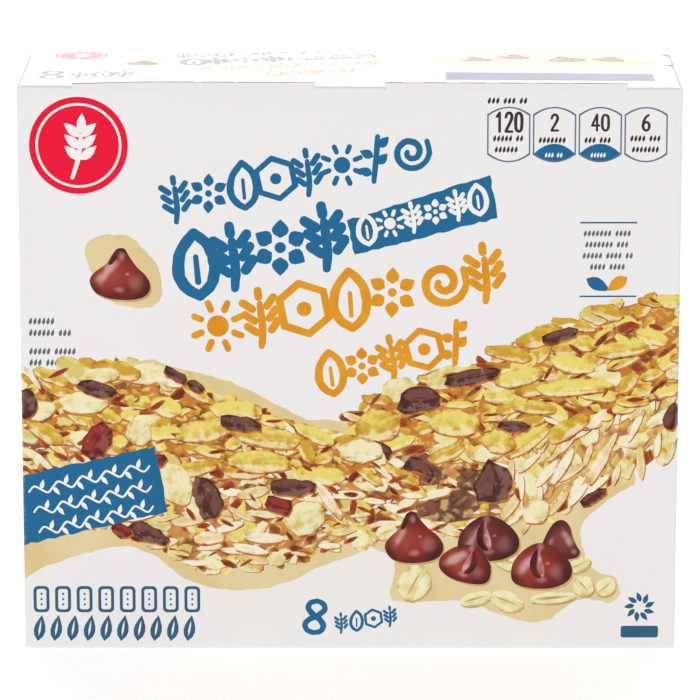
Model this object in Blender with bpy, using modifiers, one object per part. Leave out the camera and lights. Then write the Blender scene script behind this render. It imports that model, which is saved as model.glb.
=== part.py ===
"""Granola bar carton: a shut, glued paperboard pack, modelled as one closed solid.

The carton stands on its flat bottom, centred on the origin. Its front panel faces -Y,
its closed ends face -X and +X, and +Z is up. Units are metres.
"""
import bmesh
import bpy
from math import pi, sin, sqrt
from mathutils import Matrix, Vector

MM = 0.001

# Outside size, measured between the creases.
WIDTH = 160.0 * MM
DEPTH = 51.0 * MM
HEIGHT = 140.7 * MM

# The folding board.
BOARD = 0.45 * MM                  # thickness
CREASE_RADIUS = 0.8 * MM           # outside radius of every fold
CREASE_SEGMENTS = 3

# How far each glued-up panel swells past the plane of its creases.
FACE_SWELL = 0.6 * MM              # front and back
END_SWELL = 0.3 * MM
TOP_SWELL = 0.5 * MM
PANEL_CUTS = 11                    # rows of points that carry the swell
FRONT_EDGE_DROP = 0.5 * MM         # the top's front crease settles this much to the right

# End closures: an outer flap lies over the dust flaps and stops short of three creases.
FLAP_SIDE_GAP = 0.7 * MM           # at the top and bottom
FLAP_FREE_GAP = 1.4 * MM           # at the back, along the free edge

# Hinge of the lid: the front-top crease is cut through in two runs, where the front board
# stands up straight as a low lip with a slit behind it.
LIP_RUNS = ((-66.8 * MM, -8.4 * MM), (8.4 * MM, 66.8 * MM))
LIP_HEIGHT = 1.1 * MM              # above the crease
LIP_LOW_HEIGHT = 0.65 * MM         # at the outer end of the left run
LIP_RISE = 20.0 * MM               # length over which the left lip comes up
LIP_ROOT = 2.0 * MM                # how deep a lip reaches into the front panel
SLIT_WIDTH = 0.4 * MM
SLIT_DEPTH = 1.3 * MM
LIP_CUTS = 9

# Tear strip: two V cuts in the top's right edge mark where it starts.
NOTCH_DISTANCES = (6.0 * MM, 20.5 * MM)    # from the back crease
NOTCH_LENGTH = 2.8 * MM
NOTCH_WIDTH = 4.5 * MM
NOTCH_DEPTH = 1.2 * MM

# Glued seam: the back panel stops above the bottom crease and shows its cut edge.
SEAM_HEIGHT = 1.1 * MM

OVERSHOOT = 2.0 * MM               # how far a cutter runs past the surface it cuts


def clear_scene():
    """Remove the objects of the scene that the script runs in."""
    for old in list(bpy.data.objects):
        bpy.data.objects.remove(old)


def new_collection(name):
    """A collection linked to the scene."""
    group = bpy.data.collections.new(name)
    bpy.context.scene.collection.children.link(group)
    return group


def move_to(thing, group):
    """Take an object out of its collections and put it in one."""
    for owner in list(thing.users_collection):
        owner.objects.unlink(thing)
    group.objects.link(thing)


def take_size(thing, size):
    """Give a unit primitive its size in its mesh, so that its scale stays 1."""
    thing.data.transform(Matrix.Diagonal(Vector((*size, 1.0))))


def add_box(name, low, high, group):
    """A box between two corners, from the cube primitive."""
    low, high = Vector(low), Vector(high)
    bpy.ops.mesh.primitive_cube_add(size=1.0, location=(low + high) / 2)
    box = bpy.context.object
    box.name = name
    take_size(box, high - low)
    move_to(box, group)
    return box


def split_along(thing, axis, cuts):
    """Cut a box's edges that run along one axis into equal stretches."""
    work = bmesh.new()
    work.from_mesh(thing.data)
    along = [edge for edge in work.edges
             if abs((edge.verts[0].co - edge.verts[1].co).normalized()[axis]) > 0.9]
    bmesh.ops.subdivide_edges(work, edges=along, cuts=cuts, use_grid_fill=True)
    work.to_mesh(thing.data)
    work.free()


def hide_tool(thing):
    """Mark a cutter or a joined shape as a construction aid."""
    thing.hide_render = True
    thing.display_type = "WIRE"


def board_material():
    """White clay-coated board."""
    board = bpy.data.materials.new("Coated board")
    board.use_nodes = True
    shader = board.node_tree.nodes["Principled BSDF"]
    shader.inputs["Base Color"].default_value = (0.84, 0.84, 0.83, 1.0)
    shader.inputs["Roughness"].default_value = 0.35
    shader.inputs["Metallic"].default_value = 0.0
    return board


def swell_panels(carton):
    """Push the panels out from their creases, all but the bottom, and settle the front edge."""
    half = Vector((WIDTH / 2, DEPTH / 2, HEIGHT / 2))
    swells = (END_SWELL, FACE_SWELL, TOP_SWELL)
    for point in carton.data.vertices:
        place = point.co.copy()
        share = Vector((place.x / half.x, place.y / half.y, place.z / half.z))
        for axis, swell in enumerate(swells):
            side = share[axis]
            on_bottom = axis == 2 and side < 0
            if abs(side) < 0.999 or on_bottom:
                continue
            across, along = (share[other] for other in range(3) if other != axis)
            crown = sin(pi * (across + 1) / 2) * sin(pi * (along + 1) / 2)
            point.co[axis] += side * swell * max(0.0, crown)
        if share.z > 0.999:
            to_right = (share.x + 1) / 2
            to_front = (1 - share.y) / 2
            point.co.z -= FRONT_EDGE_DROP * to_right * to_front


def add_body(group):
    """The folded body: a box with swollen panels and rounded creases."""
    low = (-WIDTH / 2, -DEPTH / 2, 0.0)
    high = (WIDTH / 2, DEPTH / 2, HEIGHT)
    carton = add_box("carton", low, high, group)
    for axis in range(3):
        split_along(carton, axis, PANEL_CUTS)
    swell_panels(carton)
    crease = carton.modifiers.new("Creases", "BEVEL")
    crease.limit_method = "ANGLE"
    crease.angle_limit = pi / 4
    crease.width = CREASE_RADIUS
    crease.segments = CREASE_SEGMENTS
    carton.data.materials.append(board_material())
    return carton


def lip_height(run, x):
    """Height of a lip above the crease: the left run comes up slowly from its outer end."""
    start = run[0]
    if start > 0:
        return LIP_HEIGHT
    rise = min(1.0, (x - start) / LIP_RISE)
    return LIP_LOW_HEIGHT + (LIP_HEIGHT - LIP_LOW_HEIGHT) * rise * rise * (3 - 2 * rise)


def crease_height(x):
    """Height of the top's front crease at a place along it."""
    return HEIGHT - FRONT_EDGE_DROP * (x / WIDTH + 0.5)


def add_lip(name, run, group):
    """The strip of front board that stands up past the crease in one cut run."""
    front = -DEPTH / 2
    low = (run[0], front, HEIGHT - LIP_ROOT)
    high = (run[1], front + BOARD, HEIGHT)
    lip = add_box(name, low, high, group)
    split_along(lip, 0, LIP_CUTS)
    for point in lip.data.vertices:
        if point.co.z > 0:
            x = point.co.x + lip.location.x
            point.co.z = crease_height(x) + lip_height(run, x) - lip.location.z
    hide_tool(lip)


def add_slit(name, run, group):
    """The gap between a lip and the cut edge of the top panel."""
    back_of_lip = -DEPTH / 2 + BOARD
    low = (run[0], back_of_lip, HEIGHT - FRONT_EDGE_DROP - SLIT_DEPTH)
    high = (run[1], back_of_lip + SLIT_WIDTH, HEIGHT + OVERSHOOT)
    hide_tool(add_box(name, low, high, group))


def add_notch(name, distance, group):
    """A V cut in the top's right edge, pointing into the panel."""
    reach = NOTCH_LENGTH + OVERSHOOT
    width = NOTCH_WIDTH * reach / NOTCH_LENGTH
    tall = NOTCH_DEPTH + OVERSHOOT
    bpy.ops.mesh.primitive_cylinder_add(vertices=3, radius=1.0, depth=1.0)
    notch = bpy.context.object
    notch.name = name
    notch.data.transform(Matrix.Rotation(pi / 2, 4, "Z"))
    take_size(notch, (reach / 1.5, width / sqrt(3.0), tall))
    tip = WIDTH / 2 - NOTCH_LENGTH
    notch.location = (tip + reach / 1.5, DEPTH / 2 - distance, HEIGHT - NOTCH_DEPTH + tall / 2)
    move_to(notch, group)
    hide_tool(notch)


def add_flap_steps(side, name, group):
    """Cutters that leave an end's outer flap standing proud of the dust flaps."""
    inner, outer = WIDTH / 2 - BOARD, WIDTH / 2 + OVERSHOOT
    near, far = sorted((side * inner, side * outer))
    past_back, past_front = DEPTH / 2 + OVERSHOOT, -DEPTH / 2 - OVERSHOOT
    strips = {
        "top": ((past_front, HEIGHT - FLAP_SIDE_GAP), (past_back, HEIGHT + OVERSHOOT)),
        "bottom": ((past_front, -OVERSHOOT), (past_back, FLAP_SIDE_GAP)),
        "free edge": ((DEPTH / 2 - FLAP_FREE_GAP, -OVERSHOOT), (past_back, HEIGHT + OVERSHOOT)),
    }
    for strip, (start, end) in strips.items():
        hide_tool(add_box(f"{name} {strip}", (near, *start), (far, *end), group))


def add_seam(group):
    """Cutter for the glued seam along the bottom of the back panel."""
    low = (-WIDTH / 2 - OVERSHOOT, DEPTH / 2 - BOARD, -OVERSHOOT)
    high = (WIDTH / 2 + OVERSHOOT, DEPTH / 2 + OVERSHOOT, SEAM_HEIGHT)
    hide_tool(add_box("seam", low, high, group))


def combine(carton, operation, group):
    """Join or cut the carton with every shape in a collection."""
    step = carton.modifiers.new(operation.title(), "BOOLEAN")
    step.operation = operation
    step.solver = "EXACT"
    step.operand_type = "COLLECTION"
    step.collection = group


def build():
    """Make the carton."""
    clear_scene()
    parts = new_collection("Granola bar carton")
    joined = new_collection("Joined shapes")
    cutters = new_collection("Cutters")

    carton = add_body(parts)
    for number, run in enumerate(LIP_RUNS, start=1):
        add_lip(f"lip {number}", run, joined)
        add_slit(f"slit {number}", run, cutters)
    for number, distance in enumerate(NOTCH_DISTANCES, start=1):
        add_notch(f"notch {number}", distance, cutters)
    add_flap_steps(-1, "left flap", cutters)
    add_flap_steps(1, "right flap", cutters)
    add_seam(cutters)

    combine(carton, "UNION", joined)
    combine(carton, "DIFFERENCE", cutters)


build()
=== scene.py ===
"""Finish of a granola bar carton: printed board, lid hinge, tear strip, floor and light.

The print is cut, not painted. The shapes of each panel lie over one another in order and
are split into one flat sheet of flush ink fields, which is then folded round the creases
and given the board's thickness. Print sizes are in millimetres on the panel.
"""
import random
from math import cos, pi, radians, sin, tan

import bpy
from mathutils import Matrix, Vector
from mathutils.geometry import delaunay_2d_cdt


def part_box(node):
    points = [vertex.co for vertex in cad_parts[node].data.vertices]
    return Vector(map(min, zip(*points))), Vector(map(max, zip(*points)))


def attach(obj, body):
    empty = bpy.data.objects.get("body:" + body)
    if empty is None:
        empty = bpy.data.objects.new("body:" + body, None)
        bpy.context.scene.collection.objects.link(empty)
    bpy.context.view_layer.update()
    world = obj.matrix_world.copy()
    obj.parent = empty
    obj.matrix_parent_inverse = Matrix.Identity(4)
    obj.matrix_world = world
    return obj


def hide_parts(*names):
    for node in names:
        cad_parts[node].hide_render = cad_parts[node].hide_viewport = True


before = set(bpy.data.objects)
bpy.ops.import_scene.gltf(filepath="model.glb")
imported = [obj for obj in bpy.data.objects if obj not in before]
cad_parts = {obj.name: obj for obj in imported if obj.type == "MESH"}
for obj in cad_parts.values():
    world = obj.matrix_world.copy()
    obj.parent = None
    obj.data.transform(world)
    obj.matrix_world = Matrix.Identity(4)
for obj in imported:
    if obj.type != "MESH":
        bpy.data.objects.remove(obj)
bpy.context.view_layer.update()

MM = 0.001

# The board and its folds, in millimetres.
BOARD = 0.45
CREASE_RADIUS = 0.8
FACE_SWELL = 0.6
END_SWELL = 0.3
TOP_SWELL = 0.5
FRONT_EDGE_DROP = 0.5
SWELL_ROWS = 12
FLAP_SIDE_GAP = 0.7
FLAP_FREE_GAP = 1.4
SEAM_HEIGHT = 1.1
GLUE_TAB_HEIGHT = 5.0

# The lid's hinge: two cut runs of the front crease where the front board stands up.
LIP_RUNS = ((-66.8, -8.4), (8.4, 66.8))
LIP_HEIGHT = 1.1
LIP_LOW_HEIGHT = 0.65
LIP_RISE = 20.0
SLIT_WIDTH = 0.4
SLIT_DEPTH = 1.3

# The tear strip's V cuts, from the back crease.
NOTCH_DISTANCES = (6.0, 20.5)
NOTCH_LENGTH = 2.8
NOTCH_WIDTH = 4.5
NOTCH_DEPTH = 1.2

# The carton between its creases, worked out from the solid.
node_low, node_high = (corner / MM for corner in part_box("carton"))
WIDTH = node_high.x - node_low.x - 2 * END_SWELL
DEPTH = node_high.y - node_low.y - 2 * FACE_SWELL
LEFT_LIP_TOP = LIP_RUNS[0][0] + LIP_RISE
HEIGHT = node_high.z - LIP_HEIGHT + FRONT_EDGE_DROP * (LEFT_LIP_TOP / WIDTH + 0.5)
HALF_WIDTH = WIDTH / 2
HALF_DEPTH = DEPTH / 2
INNER_HALF_WIDTH = HALF_WIDTH - BOARD

FOLD_STEPS = 3
GRID_STEP = 9.0
JOIN_DISTANCE = 1e-4


# ---------------------------------------------------------------- outlines


def at(u, v):
    """A place on a panel."""
    return Vector((u, v))


def turned(vector, angle):
    """A flat vector turned by an angle in radians."""
    return Vector((vector.x * cos(angle) - vector.y * sin(angle),
                   vector.x * sin(angle) + vector.y * cos(angle)))


def wound(outline):
    """The outline, run anticlockwise."""
    pairs = zip(outline, outline[1:] + outline[:1])
    area = sum(a.x * b.y - b.x * a.y for a, b in pairs)
    return outline if area > 0 else outline[::-1]


def smooth(points, steps=4, closed=True):
    """A smooth curve through the points."""
    count = len(points)
    curve = []
    for index in range(count if closed else count - 1):
        if closed:
            a, b, c, d = (points[(index + k) % count] for k in (-1, 0, 1, 2))
        else:
            a, b, c, d = (points[min(max(index + k, 0), count - 1)] for k in (-1, 0, 1, 2))
        for step in range(steps):
            t = step / steps
            curve.append((b * 2 + (c - a) * t + (a * 2 - b * 5 + c * 4 - d) * t ** 2
                          + (b * 3 - a - c * 3 + d) * t ** 3) / 2)
    return curve if closed else curve + [points[-1]]


def torn(points, step, amount, seed):
    """An outline whose runs wander like a torn or dry-brushed edge."""
    draw = random.Random(seed)
    edge = []
    for start, end in zip(points, points[1:] + points[:1]):
        run = end - start
        across = Vector((-run.y, run.x)).normalized()
        count = max(1, round(run.length / step))
        for index in range(count):
            wander = draw.uniform(-amount, amount) if index or count == 1 else 0.0
            edge.append(start + run * (index / count) + across * wander)
    return edge


def oval(centre, half_length, half_width, turn=0.0, steps=20):
    """An oval with its length turned by an angle in radians."""
    return [centre + turned(at(half_length * cos(a), half_width * sin(a)), turn)
            for a in (2 * pi * k / steps for k in range(steps))]


def uneven_oval(centre, half_length, half_width, turn, seed, steps=16, amount=0.09):
    """An oval whose edge wavers in and out."""
    draw = random.Random(seed)
    return [centre + (point - centre) * draw.uniform(1 - amount, 1 + amount)
            for point in oval(centre, half_length, half_width, turn, steps)]


def crosses_itself(outline):
    """Whether any two sides of a closed outline cross."""
    count = len(outline)
    sides = [(outline[k], outline[(k + 1) % count]) for k in range(count)]
    for first in range(count):
        a, b = sides[first]
        for second in range(first + 2, count - (first == 0)):
            c, d = sides[second]
            run, other = b - a, d - c
            if (run.cross(c - a) * run.cross(d - a) < 0
                    and other.cross(a - c) * other.cross(b - c) < 0):
                return True
    return False


def lens(base, tip, width, steps=5):
    """A leaf or grain: two bowed sides that meet in points."""
    run = tip - base
    across = Vector((-run.y, run.x)).normalized() * width / 2
    shares = [k / steps for k in range(1, steps)]
    near = [base + run * t - across * sin(pi * t ** 0.8) for t in shares]
    far = [base + run * t + across * sin(pi * t ** 0.8) for t in reversed(shares)]
    return [base] + near + [tip] + far


def rectangle(low, high):
    """An upright rectangle."""
    return [at(low.x, low.y), at(high.x, low.y), at(high.x, high.y), at(low.x, high.y)]


def rounded_box(low, high, radius, steps=4):
    """An upright rectangle with round corners."""
    corners = ((high.x - radius, high.y - radius, 0), (low.x + radius, high.y - radius, 1),
               (low.x + radius, low.y + radius, 2), (high.x - radius, low.y + radius, 3))
    return [at(x + radius * cos(pi / 2 * (quarter + k / steps)),
               y + radius * sin(pi / 2 * (quarter + k / steps)))
            for x, y, quarter in corners for k in range(steps + 1)]


def brush(path, width, fullness=0.16, seed=1):
    """The outline of a brush stroke: round ends, fuller in the middle, a little uneven."""
    draw = random.Random(seed)
    sides = ([], [])
    last = len(path) - 1
    for index, point in enumerate(path):
        heading = (path[min(index + 1, last)] - path[max(index - 1, 0)]).normalized()
        across = Vector((-heading.y, heading.x))
        half = width / 2 * (1 - fullness + fullness * sin(pi * index / last))
        sides[0].append(point + across * half * draw.uniform(0.92, 1.08))
        sides[1].append(point - across * half * draw.uniform(0.92, 1.08))
    caps = []
    for centre, edge in ((path[-1], sides[0][-1]), (path[0], sides[1][0])):
        spoke = edge - centre
        caps.append([centre + turned(spoke, -pi * k / 5) for k in range(1, 5)])
    return sides[0] + caps[0] + sides[1][::-1] + caps[1]


# ---------------------------------------------------------------- inks


def paint(red, green, blue):
    """A display colour, 0 to 255, as linear light."""
    shares = (value / 255 for value in (red, green, blue))
    return (*((s / 12.92 if s < 0.04045 else ((s + 0.055) / 1.055) ** 2.4) for s in shares), 1.0)


def add_node(tree, kind, settings=(), **feeds):
    """Add a node, give it its settings, and feed its inputs with values or sockets."""
    node = tree.nodes.new(kind)
    for name, value in dict(settings).items():
        setattr(node, name, value)
    for name, value in feeds.items():
        socket = node.inputs[name.replace("_", " ")]
        if isinstance(value, bpy.types.NodeSocket):
            tree.links.new(value, socket)
        else:
            socket.default_value = value
    return node


def maths(tree, operation, *values):
    """One sum on one, two or three values."""
    node = tree.nodes.new("ShaderNodeMath")
    node.operation = operation
    for socket, value in zip(node.inputs, values):
        if isinstance(value, bpy.types.NodeSocket):
            tree.links.new(value, socket)
        else:
            socket.default_value = value
    return node.outputs[0]


def mixed(tree, share, low, high, blend="MIX"):
    """Two colours mixed by a share."""
    node = tree.nodes.new("ShaderNodeMix")
    node.data_type = "RGBA"
    node.blend_type = blend
    for index, value in ((0, share), (6, low), (7, high)):
        if isinstance(value, bpy.types.NodeSocket):
            tree.links.new(value, node.inputs[index])
        else:
            node.inputs[index].default_value = value
    return node.outputs[2]


def eased(tree, value, start, end, low=0.0, high=1.0):
    """A value led smoothly from one range to another."""
    node = add_node(tree, "ShaderNodeMapRange", {"interpolation_type": "SMOOTHSTEP"},
                    Value=value, From_Min=start, From_Max=end, To_Min=low, To_Max=high)
    return node.outputs["Result"]


def cloud(tree, place, scale, detail=2.0):
    """Noise from 0 to 1 at a place."""
    node = add_node(tree, "ShaderNodeTexNoise", Vector=place, Scale=scale, Detail=detail)
    return node.outputs["Fac"]


def object_place(tree):
    """Place on the carton, in metres."""
    return tree.nodes.new("ShaderNodeTexCoord").outputs["Object"]


def new_group(name, inputs, outputs):
    """A shader node group with named sockets; each is (name, kind, default)."""
    group = bpy.data.node_groups.new(name, "ShaderNodeTree")
    for label, kind, default in inputs:
        socket = group.interface.new_socket(label, in_out="INPUT", socket_type=f"NodeSocket{kind}")
        socket.default_value = default
    for label, kind in outputs:
        group.interface.new_socket(label, in_out="OUTPUT", socket_type=f"NodeSocket{kind}")
    return group, group.nodes.new("NodeGroupInput").outputs, group.nodes.new("NodeGroupOutput").inputs


def use_group(tree, group, **feeds):
    """Place a node group in a tree and feed it."""
    return add_node(tree, "ShaderNodeGroup", {"node_tree": group}, **feeds).outputs


def board_surface_group():
    """Coated board under ink: cloudy coverage, fine fibre, and creases that have cracked."""
    tree, given, result = new_group(
        "Board surface",
        (("Ink", "Color", (0.8, 0.8, 0.8, 1.0)), ("Unevenness", "Float", 0.06),
         ("Gloss", "Float", 0.36), ("Wear", "Float", 0.35)),
        (("Color", "Color"), ("Roughness", "Float"), ("Height", "Float")))
    place = object_place(tree)
    broad = maths(tree, "SUBTRACT", cloud(tree, place, 28.0), 0.5)
    fibre = maths(tree, "SUBTRACT", cloud(tree, place, 1700.0, 3.0), 0.5)
    change = maths(tree, "MULTIPLY", maths(tree, "ADD", broad, fibre), given["Unevenness"])
    bright = maths(tree, "ADD", change, 1.0)
    shade = add_node(tree, "ShaderNodeCombineColor", Red=bright, Green=bright, Blue=bright)
    inked = mixed(tree, 1.0, given["Ink"], shade.outputs[0], "MULTIPLY")

    axes = add_node(tree, "ShaderNodeSeparateXYZ", Vector=place).outputs
    half_height = HEIGHT / 2 * MM
    upward = maths(tree, "SUBTRACT", axes["Z"], half_height)
    near = [eased(tree, maths(tree, "ABSOLUTE", axis), half - CREASE_RADIUS * MM, half)
            for axis, half in ((axes["X"], HALF_WIDTH * MM), (axes["Y"], HALF_DEPTH * MM),
                               (upward, half_height))]
    pairs = [maths(tree, "MULTIPLY", near[a], near[b]) for a, b in ((0, 1), (1, 2), (2, 0))]
    crease = maths(tree, "MAXIMUM", maths(tree, "MAXIMUM", pairs[0], pairs[1]), pairs[2])
    cracks = eased(tree, cloud(tree, place, 900.0, 4.0), 0.45, 0.6)
    worn = maths(tree, "MULTIPLY", maths(tree, "MULTIPLY", crease, cracks), given["Wear"])
    links = tree.links
    links.new(mixed(tree, worn, inked, paint(232, 228, 220)), result["Color"])
    rough = maths(tree, "ADD", given["Gloss"], maths(tree, "MULTIPLY", fibre, 0.2))
    links.new(maths(tree, "ADD", rough, maths(tree, "MULTIPLY", worn, 0.3)), result["Roughness"])
    links.new(fibre, result["Height"])
    return tree


def painted_grain_group():
    """Shading inside one pictured flake or chunk, from its own place: -1 to 1 along and across."""
    tree, given, result = new_group(
        "Painted grain",
        (("Place", "Vector", (0.0, 0.0, 0.5)), ("Face", "Color", (0.7, 0.5, 0.2, 1.0)),
         ("Ridge", "Color", (0.9, 0.8, 0.5, 1.0)), ("Edge", "Color", (0.9, 0.9, 0.8, 1.0)),
         ("Gap", "Color", (0.3, 0.1, 0.0, 1.0)), ("Mottle", "Float", 1.0), ("Rim", "Float", 0.8),
         ("Core", "Float", 0.68)),
        (("Color", "Color"),))
    axes = add_node(tree, "ShaderNodeSeparateXYZ", Vector=given["Place"]).outputs
    along, across, tone = axes["X"], axes["Y"], axes["Z"]
    apart = maths(tree, "MULTIPLY", tone, 31.0)
    streak_place = add_node(
        tree, "ShaderNodeCombineXYZ", X=maths(tree, "MULTIPLY_ADD", along, 1.3, apart),
        Y=maths(tree, "MULTIPLY_ADD", across, 3.0, apart), Z=apart)
    streak = maths(tree, "SUBTRACT", cloud(tree, streak_place.outputs[0], 1.0, 3.0), 0.5)
    patch = maths(tree, "SUBTRACT", cloud(tree, object_place(tree), 420.0, 4.0), 0.5)
    speckle = maths(tree, "SUBTRACT", cloud(tree, object_place(tree), 1100.0, 2.0), 0.5)
    mottle = maths(tree, "ADD", streak, maths(tree, "MULTIPLY", patch, 1.8))
    mottle = maths(tree, "MULTIPLY", mottle, given["Mottle"])

    lit = maths(tree, "ADD", maths(tree, "MULTIPLY_ADD", across, 0.3, tone), mottle)
    fill = mixed(tree, eased(tree, lit, 0.1, 0.9), given["Face"], given["Ridge"])

    low = maths(tree, "SUBTRACT", maths(tree, "MULTIPLY", mottle, 0.9), across)
    low = maths(tree, "ADD", low, maths(tree, "MULTIPLY", speckle, 0.7))
    low_rim = maths(tree, "MULTIPLY", eased(tree, low, 0.2, 0.62), given["Rim"])
    fill = mixed(tree, low_rim, fill, given["Edge"])

    square = maths(tree, "ADD", maths(tree, "MULTIPLY", along, along),
                   maths(tree, "MULTIPLY", across, across))
    edge = maths(tree, "SUBTRACT", square, maths(tree, "MULTIPLY", mottle, 1.1))
    edge = maths(tree, "ADD", edge, maths(tree, "MULTIPLY", speckle, 0.9))
    fill = mixed(tree, eased(tree, edge, given["Core"], 1.35, 0.0, 0.85), fill, given["Gap"])
    glint = maths(tree, "ADD", speckle, maths(tree, "MULTIPLY", lit, 0.12))
    tree.links.new(mixed(tree, eased(tree, glint, 0.24, 0.34, 0.0, 0.5), fill, given["Edge"]),
                   result["Color"])
    return tree


def painted_crumbs_group():
    """A pictured crust of small flakes: leaning cells of three tones with dark gaps between."""
    tree, given, result = new_group(
        "Painted crumbs",
        (("Heading", "Vector", (0.0, 0.0, 0.0)), ("Flake Size", "Vector", (0.003, 0.003, 0.0016)),
         ("Pale", "Color", (0.8, 0.7, 0.4, 1.0)), ("Yellow", "Color", (0.7, 0.5, 0.2, 1.0)),
         ("Honey", "Color", (0.6, 0.3, 0.1, 1.0)), ("Gap", "Color", (0.3, 0.1, 0.0, 1.0)),
         ("Gap Width", "Float", 0.1)),
        (("Color", "Color"),))
    place = object_place(tree)
    wander = add_node(tree, "ShaderNodeTexNoise", Vector=place, Scale=520.0, Detail=3.0)
    wander = add_node(tree, "ShaderNodeVectorMath", {"operation": "SCALE"},
                      Vector=wander.outputs["Color"], Scale=0.0022)
    place = add_node(tree, "ShaderNodeVectorMath", {"operation": "ADD"}).inputs[0].node
    tree.links.new(object_place(tree), place.inputs[0])
    tree.links.new(wander.outputs[0], place.inputs[1])
    laid = add_node(tree, "ShaderNodeMapping", {"vector_type": "TEXTURE"},
                    Vector=place.outputs[0], Rotation=given["Heading"], Scale=given["Flake Size"])
    cells = add_node(tree, "ShaderNodeTexVoronoi", {"feature": "F1"}, Vector=laid.outputs[0],
                     Scale=1.0)
    rims = add_node(tree, "ShaderNodeTexVoronoi", {"feature": "DISTANCE_TO_EDGE"},
                    Vector=laid.outputs[0], Scale=1.0)
    within = add_node(tree, "ShaderNodeVectorMath", {"operation": "SUBTRACT"})
    tree.links.new(laid.outputs[0], within.inputs[0])
    tree.links.new(cells.outputs["Position"], within.inputs[1])
    lift = add_node(tree, "ShaderNodeSeparateXYZ", Vector=within.outputs[0]).outputs["Z"]
    chance = add_node(tree, "ShaderNodeSeparateColor", Color=cells.outputs["Color"]).outputs
    patch = maths(tree, "SUBTRACT", cloud(tree, object_place(tree), 700.0, 3.0), 0.5)

    tone = maths(tree, "ADD", chance[0], maths(tree, "MULTIPLY_ADD", lift, 0.5, patch))
    fill = mixed(tree, eased(tree, tone, 0.1, 0.5), given["Honey"], given["Yellow"])
    fill = mixed(tree, eased(tree, tone, 0.45, 0.85), fill, given["Pale"])
    width = maths(tree, "MULTIPLY", given["Gap Width"], maths(tree, "MULTIPLY_ADD", chance[1], 2.0, 0.4))
    rim = maths(tree, "DIVIDE", maths(tree, "MULTIPLY_ADD", patch, 0.2, rims.outputs["Distance"]), width)
    gap = mixed(tree, eased(tree, cloud(tree, object_place(tree), 260.0, 2.0), 0.36, 0.56),
                given["Gap"], given["Honey"])
    tree.links.new(mixed(tree, eased(tree, rim, 0.5, 1.5, 0.9, 0.0), fill, gap), result["Color"])
    return tree


def painted_round_group():
    """Shading of a pictured chocolate chip: lit from the upper left, with soft highlights."""
    tree, given, result = new_group(
        "Painted round",
        (("Place", "Vector", (0.0, 0.0, 0.5)), ("Dark", "Color", (0.02, 0.0, 0.0, 1.0)),
         ("Body", "Color", (0.3, 0.05, 0.03, 1.0)), ("Pale", "Color", (0.6, 0.3, 0.2, 1.0)),
         ("Glint", "Color", (0.9, 0.8, 0.7, 1.0))),
        (("Color", "Color"),))
    axes = add_node(tree, "ShaderNodeSeparateXYZ", Vector=given["Place"]).outputs
    along, across = axes["X"], axes["Y"]
    ripple = maths(tree, "SUBTRACT", cloud(tree, object_place(tree), 240.0, 2.0), 0.5)

    def distance(x, y, wide, tall):
        """How far from a spot, in oval shares, with a rippled edge."""
        side = maths(tree, "DIVIDE", maths(tree, "SUBTRACT", along, x), wide)
        lift = maths(tree, "DIVIDE", maths(tree, "SUBTRACT", across, y), tall)
        away = maths(tree, "ADD", maths(tree, "MULTIPLY", side, side),
                     maths(tree, "MULTIPLY", lift, lift))
        return maths(tree, "ADD", maths(tree, "SQRT", away), maths(tree, "MULTIPLY", ripple, 0.8))

    colour = mixed(tree, eased(tree, distance(-0.12, 0.12, 1.12, 0.95), 0.35, 1.05),
                   given["Body"], given["Dark"])
    colour = mixed(tree, eased(tree, distance(-0.4, 0.16, 0.62, 0.56), 1.2, 0.2, 0.0, 0.8),
                   colour, given["Pale"])
    slope = maths(tree, "MULTIPLY_ADD", across, -0.7, 0.6)
    off_band = maths(tree, "ABSOLUTE", maths(tree, "ADD", along, slope))
    off_band = maths(tree, "ADD", off_band, maths(tree, "MULTIPLY", ripple, 0.5))
    band = maths(tree, "MULTIPLY", eased(tree, off_band, 0.26, 0.0, 0.0, 0.75),
                 eased(tree, distance(-0.4, 0.2, 0.6, 0.5), 1.1, 0.3))
    colour = mixed(tree, band, colour, given["Glint"])
    for x, y, wide, tall, strength in ((0.5, -0.1, 0.26, 0.3, 0.2), (0.0, -0.34, 0.2, 0.12, 0.4),
                                       (0.22, 0.2, 0.07, 0.05, 0.5), (0.0, 0.78, 0.12, 0.16, 0.4)):
        spot = eased(tree, distance(x, y, wide, tall), 1.3, 0.1, 0.0, strength)
        colour = mixed(tree, spot, colour, given["Glint"])
    tree.links.new(colour, result["Color"])
    return tree


BOARD_SURFACE = board_surface_group()
PAINTED_GRAIN = painted_grain_group()
PAINTED_CRUMBS = painted_crumbs_group()
PAINTED_ROUND = painted_round_group()


def printed_material(name, colour_of, unevenness=0.06, gloss=0.36, wear=0.35, shine=0.2):
    """A material whose colour is built by a function and lies on coated board."""
    material = bpy.data.materials.new(name)
    material.use_nodes = True
    tree = material.node_tree
    shader = tree.nodes["Principled BSDF"]
    shader.inputs["Specular IOR Level"].default_value = shine
    surface = use_group(tree, BOARD_SURFACE, Ink=colour_of(tree), Unevenness=unevenness,
                        Gloss=gloss, Wear=wear)
    tree.links.new(surface["Color"], shader.inputs["Base Color"])
    tree.links.new(surface["Roughness"], shader.inputs["Roughness"])
    bump = add_node(tree, "ShaderNodeBump", Height=surface["Height"], Strength=0.12,
                    Distance=0.00006)
    tree.links.new(bump.outputs[0], shader.inputs["Normal"])
    return material


def flat_ink(name, colour, unevenness=0.06, gloss=0.36, wear=0.35):
    """One even ink."""
    return printed_material(name, lambda tree: colour, unevenness, gloss, wear)


def clouded_ink(name, low, high, scale, start=0.35, end=0.65, **finish):
    """Two tones of ink that drift into one another."""
    def colour(tree):
        return mixed(tree, eased(tree, cloud(tree, object_place(tree), scale, 4.0), start, end),
                     low, high)
    return printed_material(name, colour, **finish)


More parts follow.
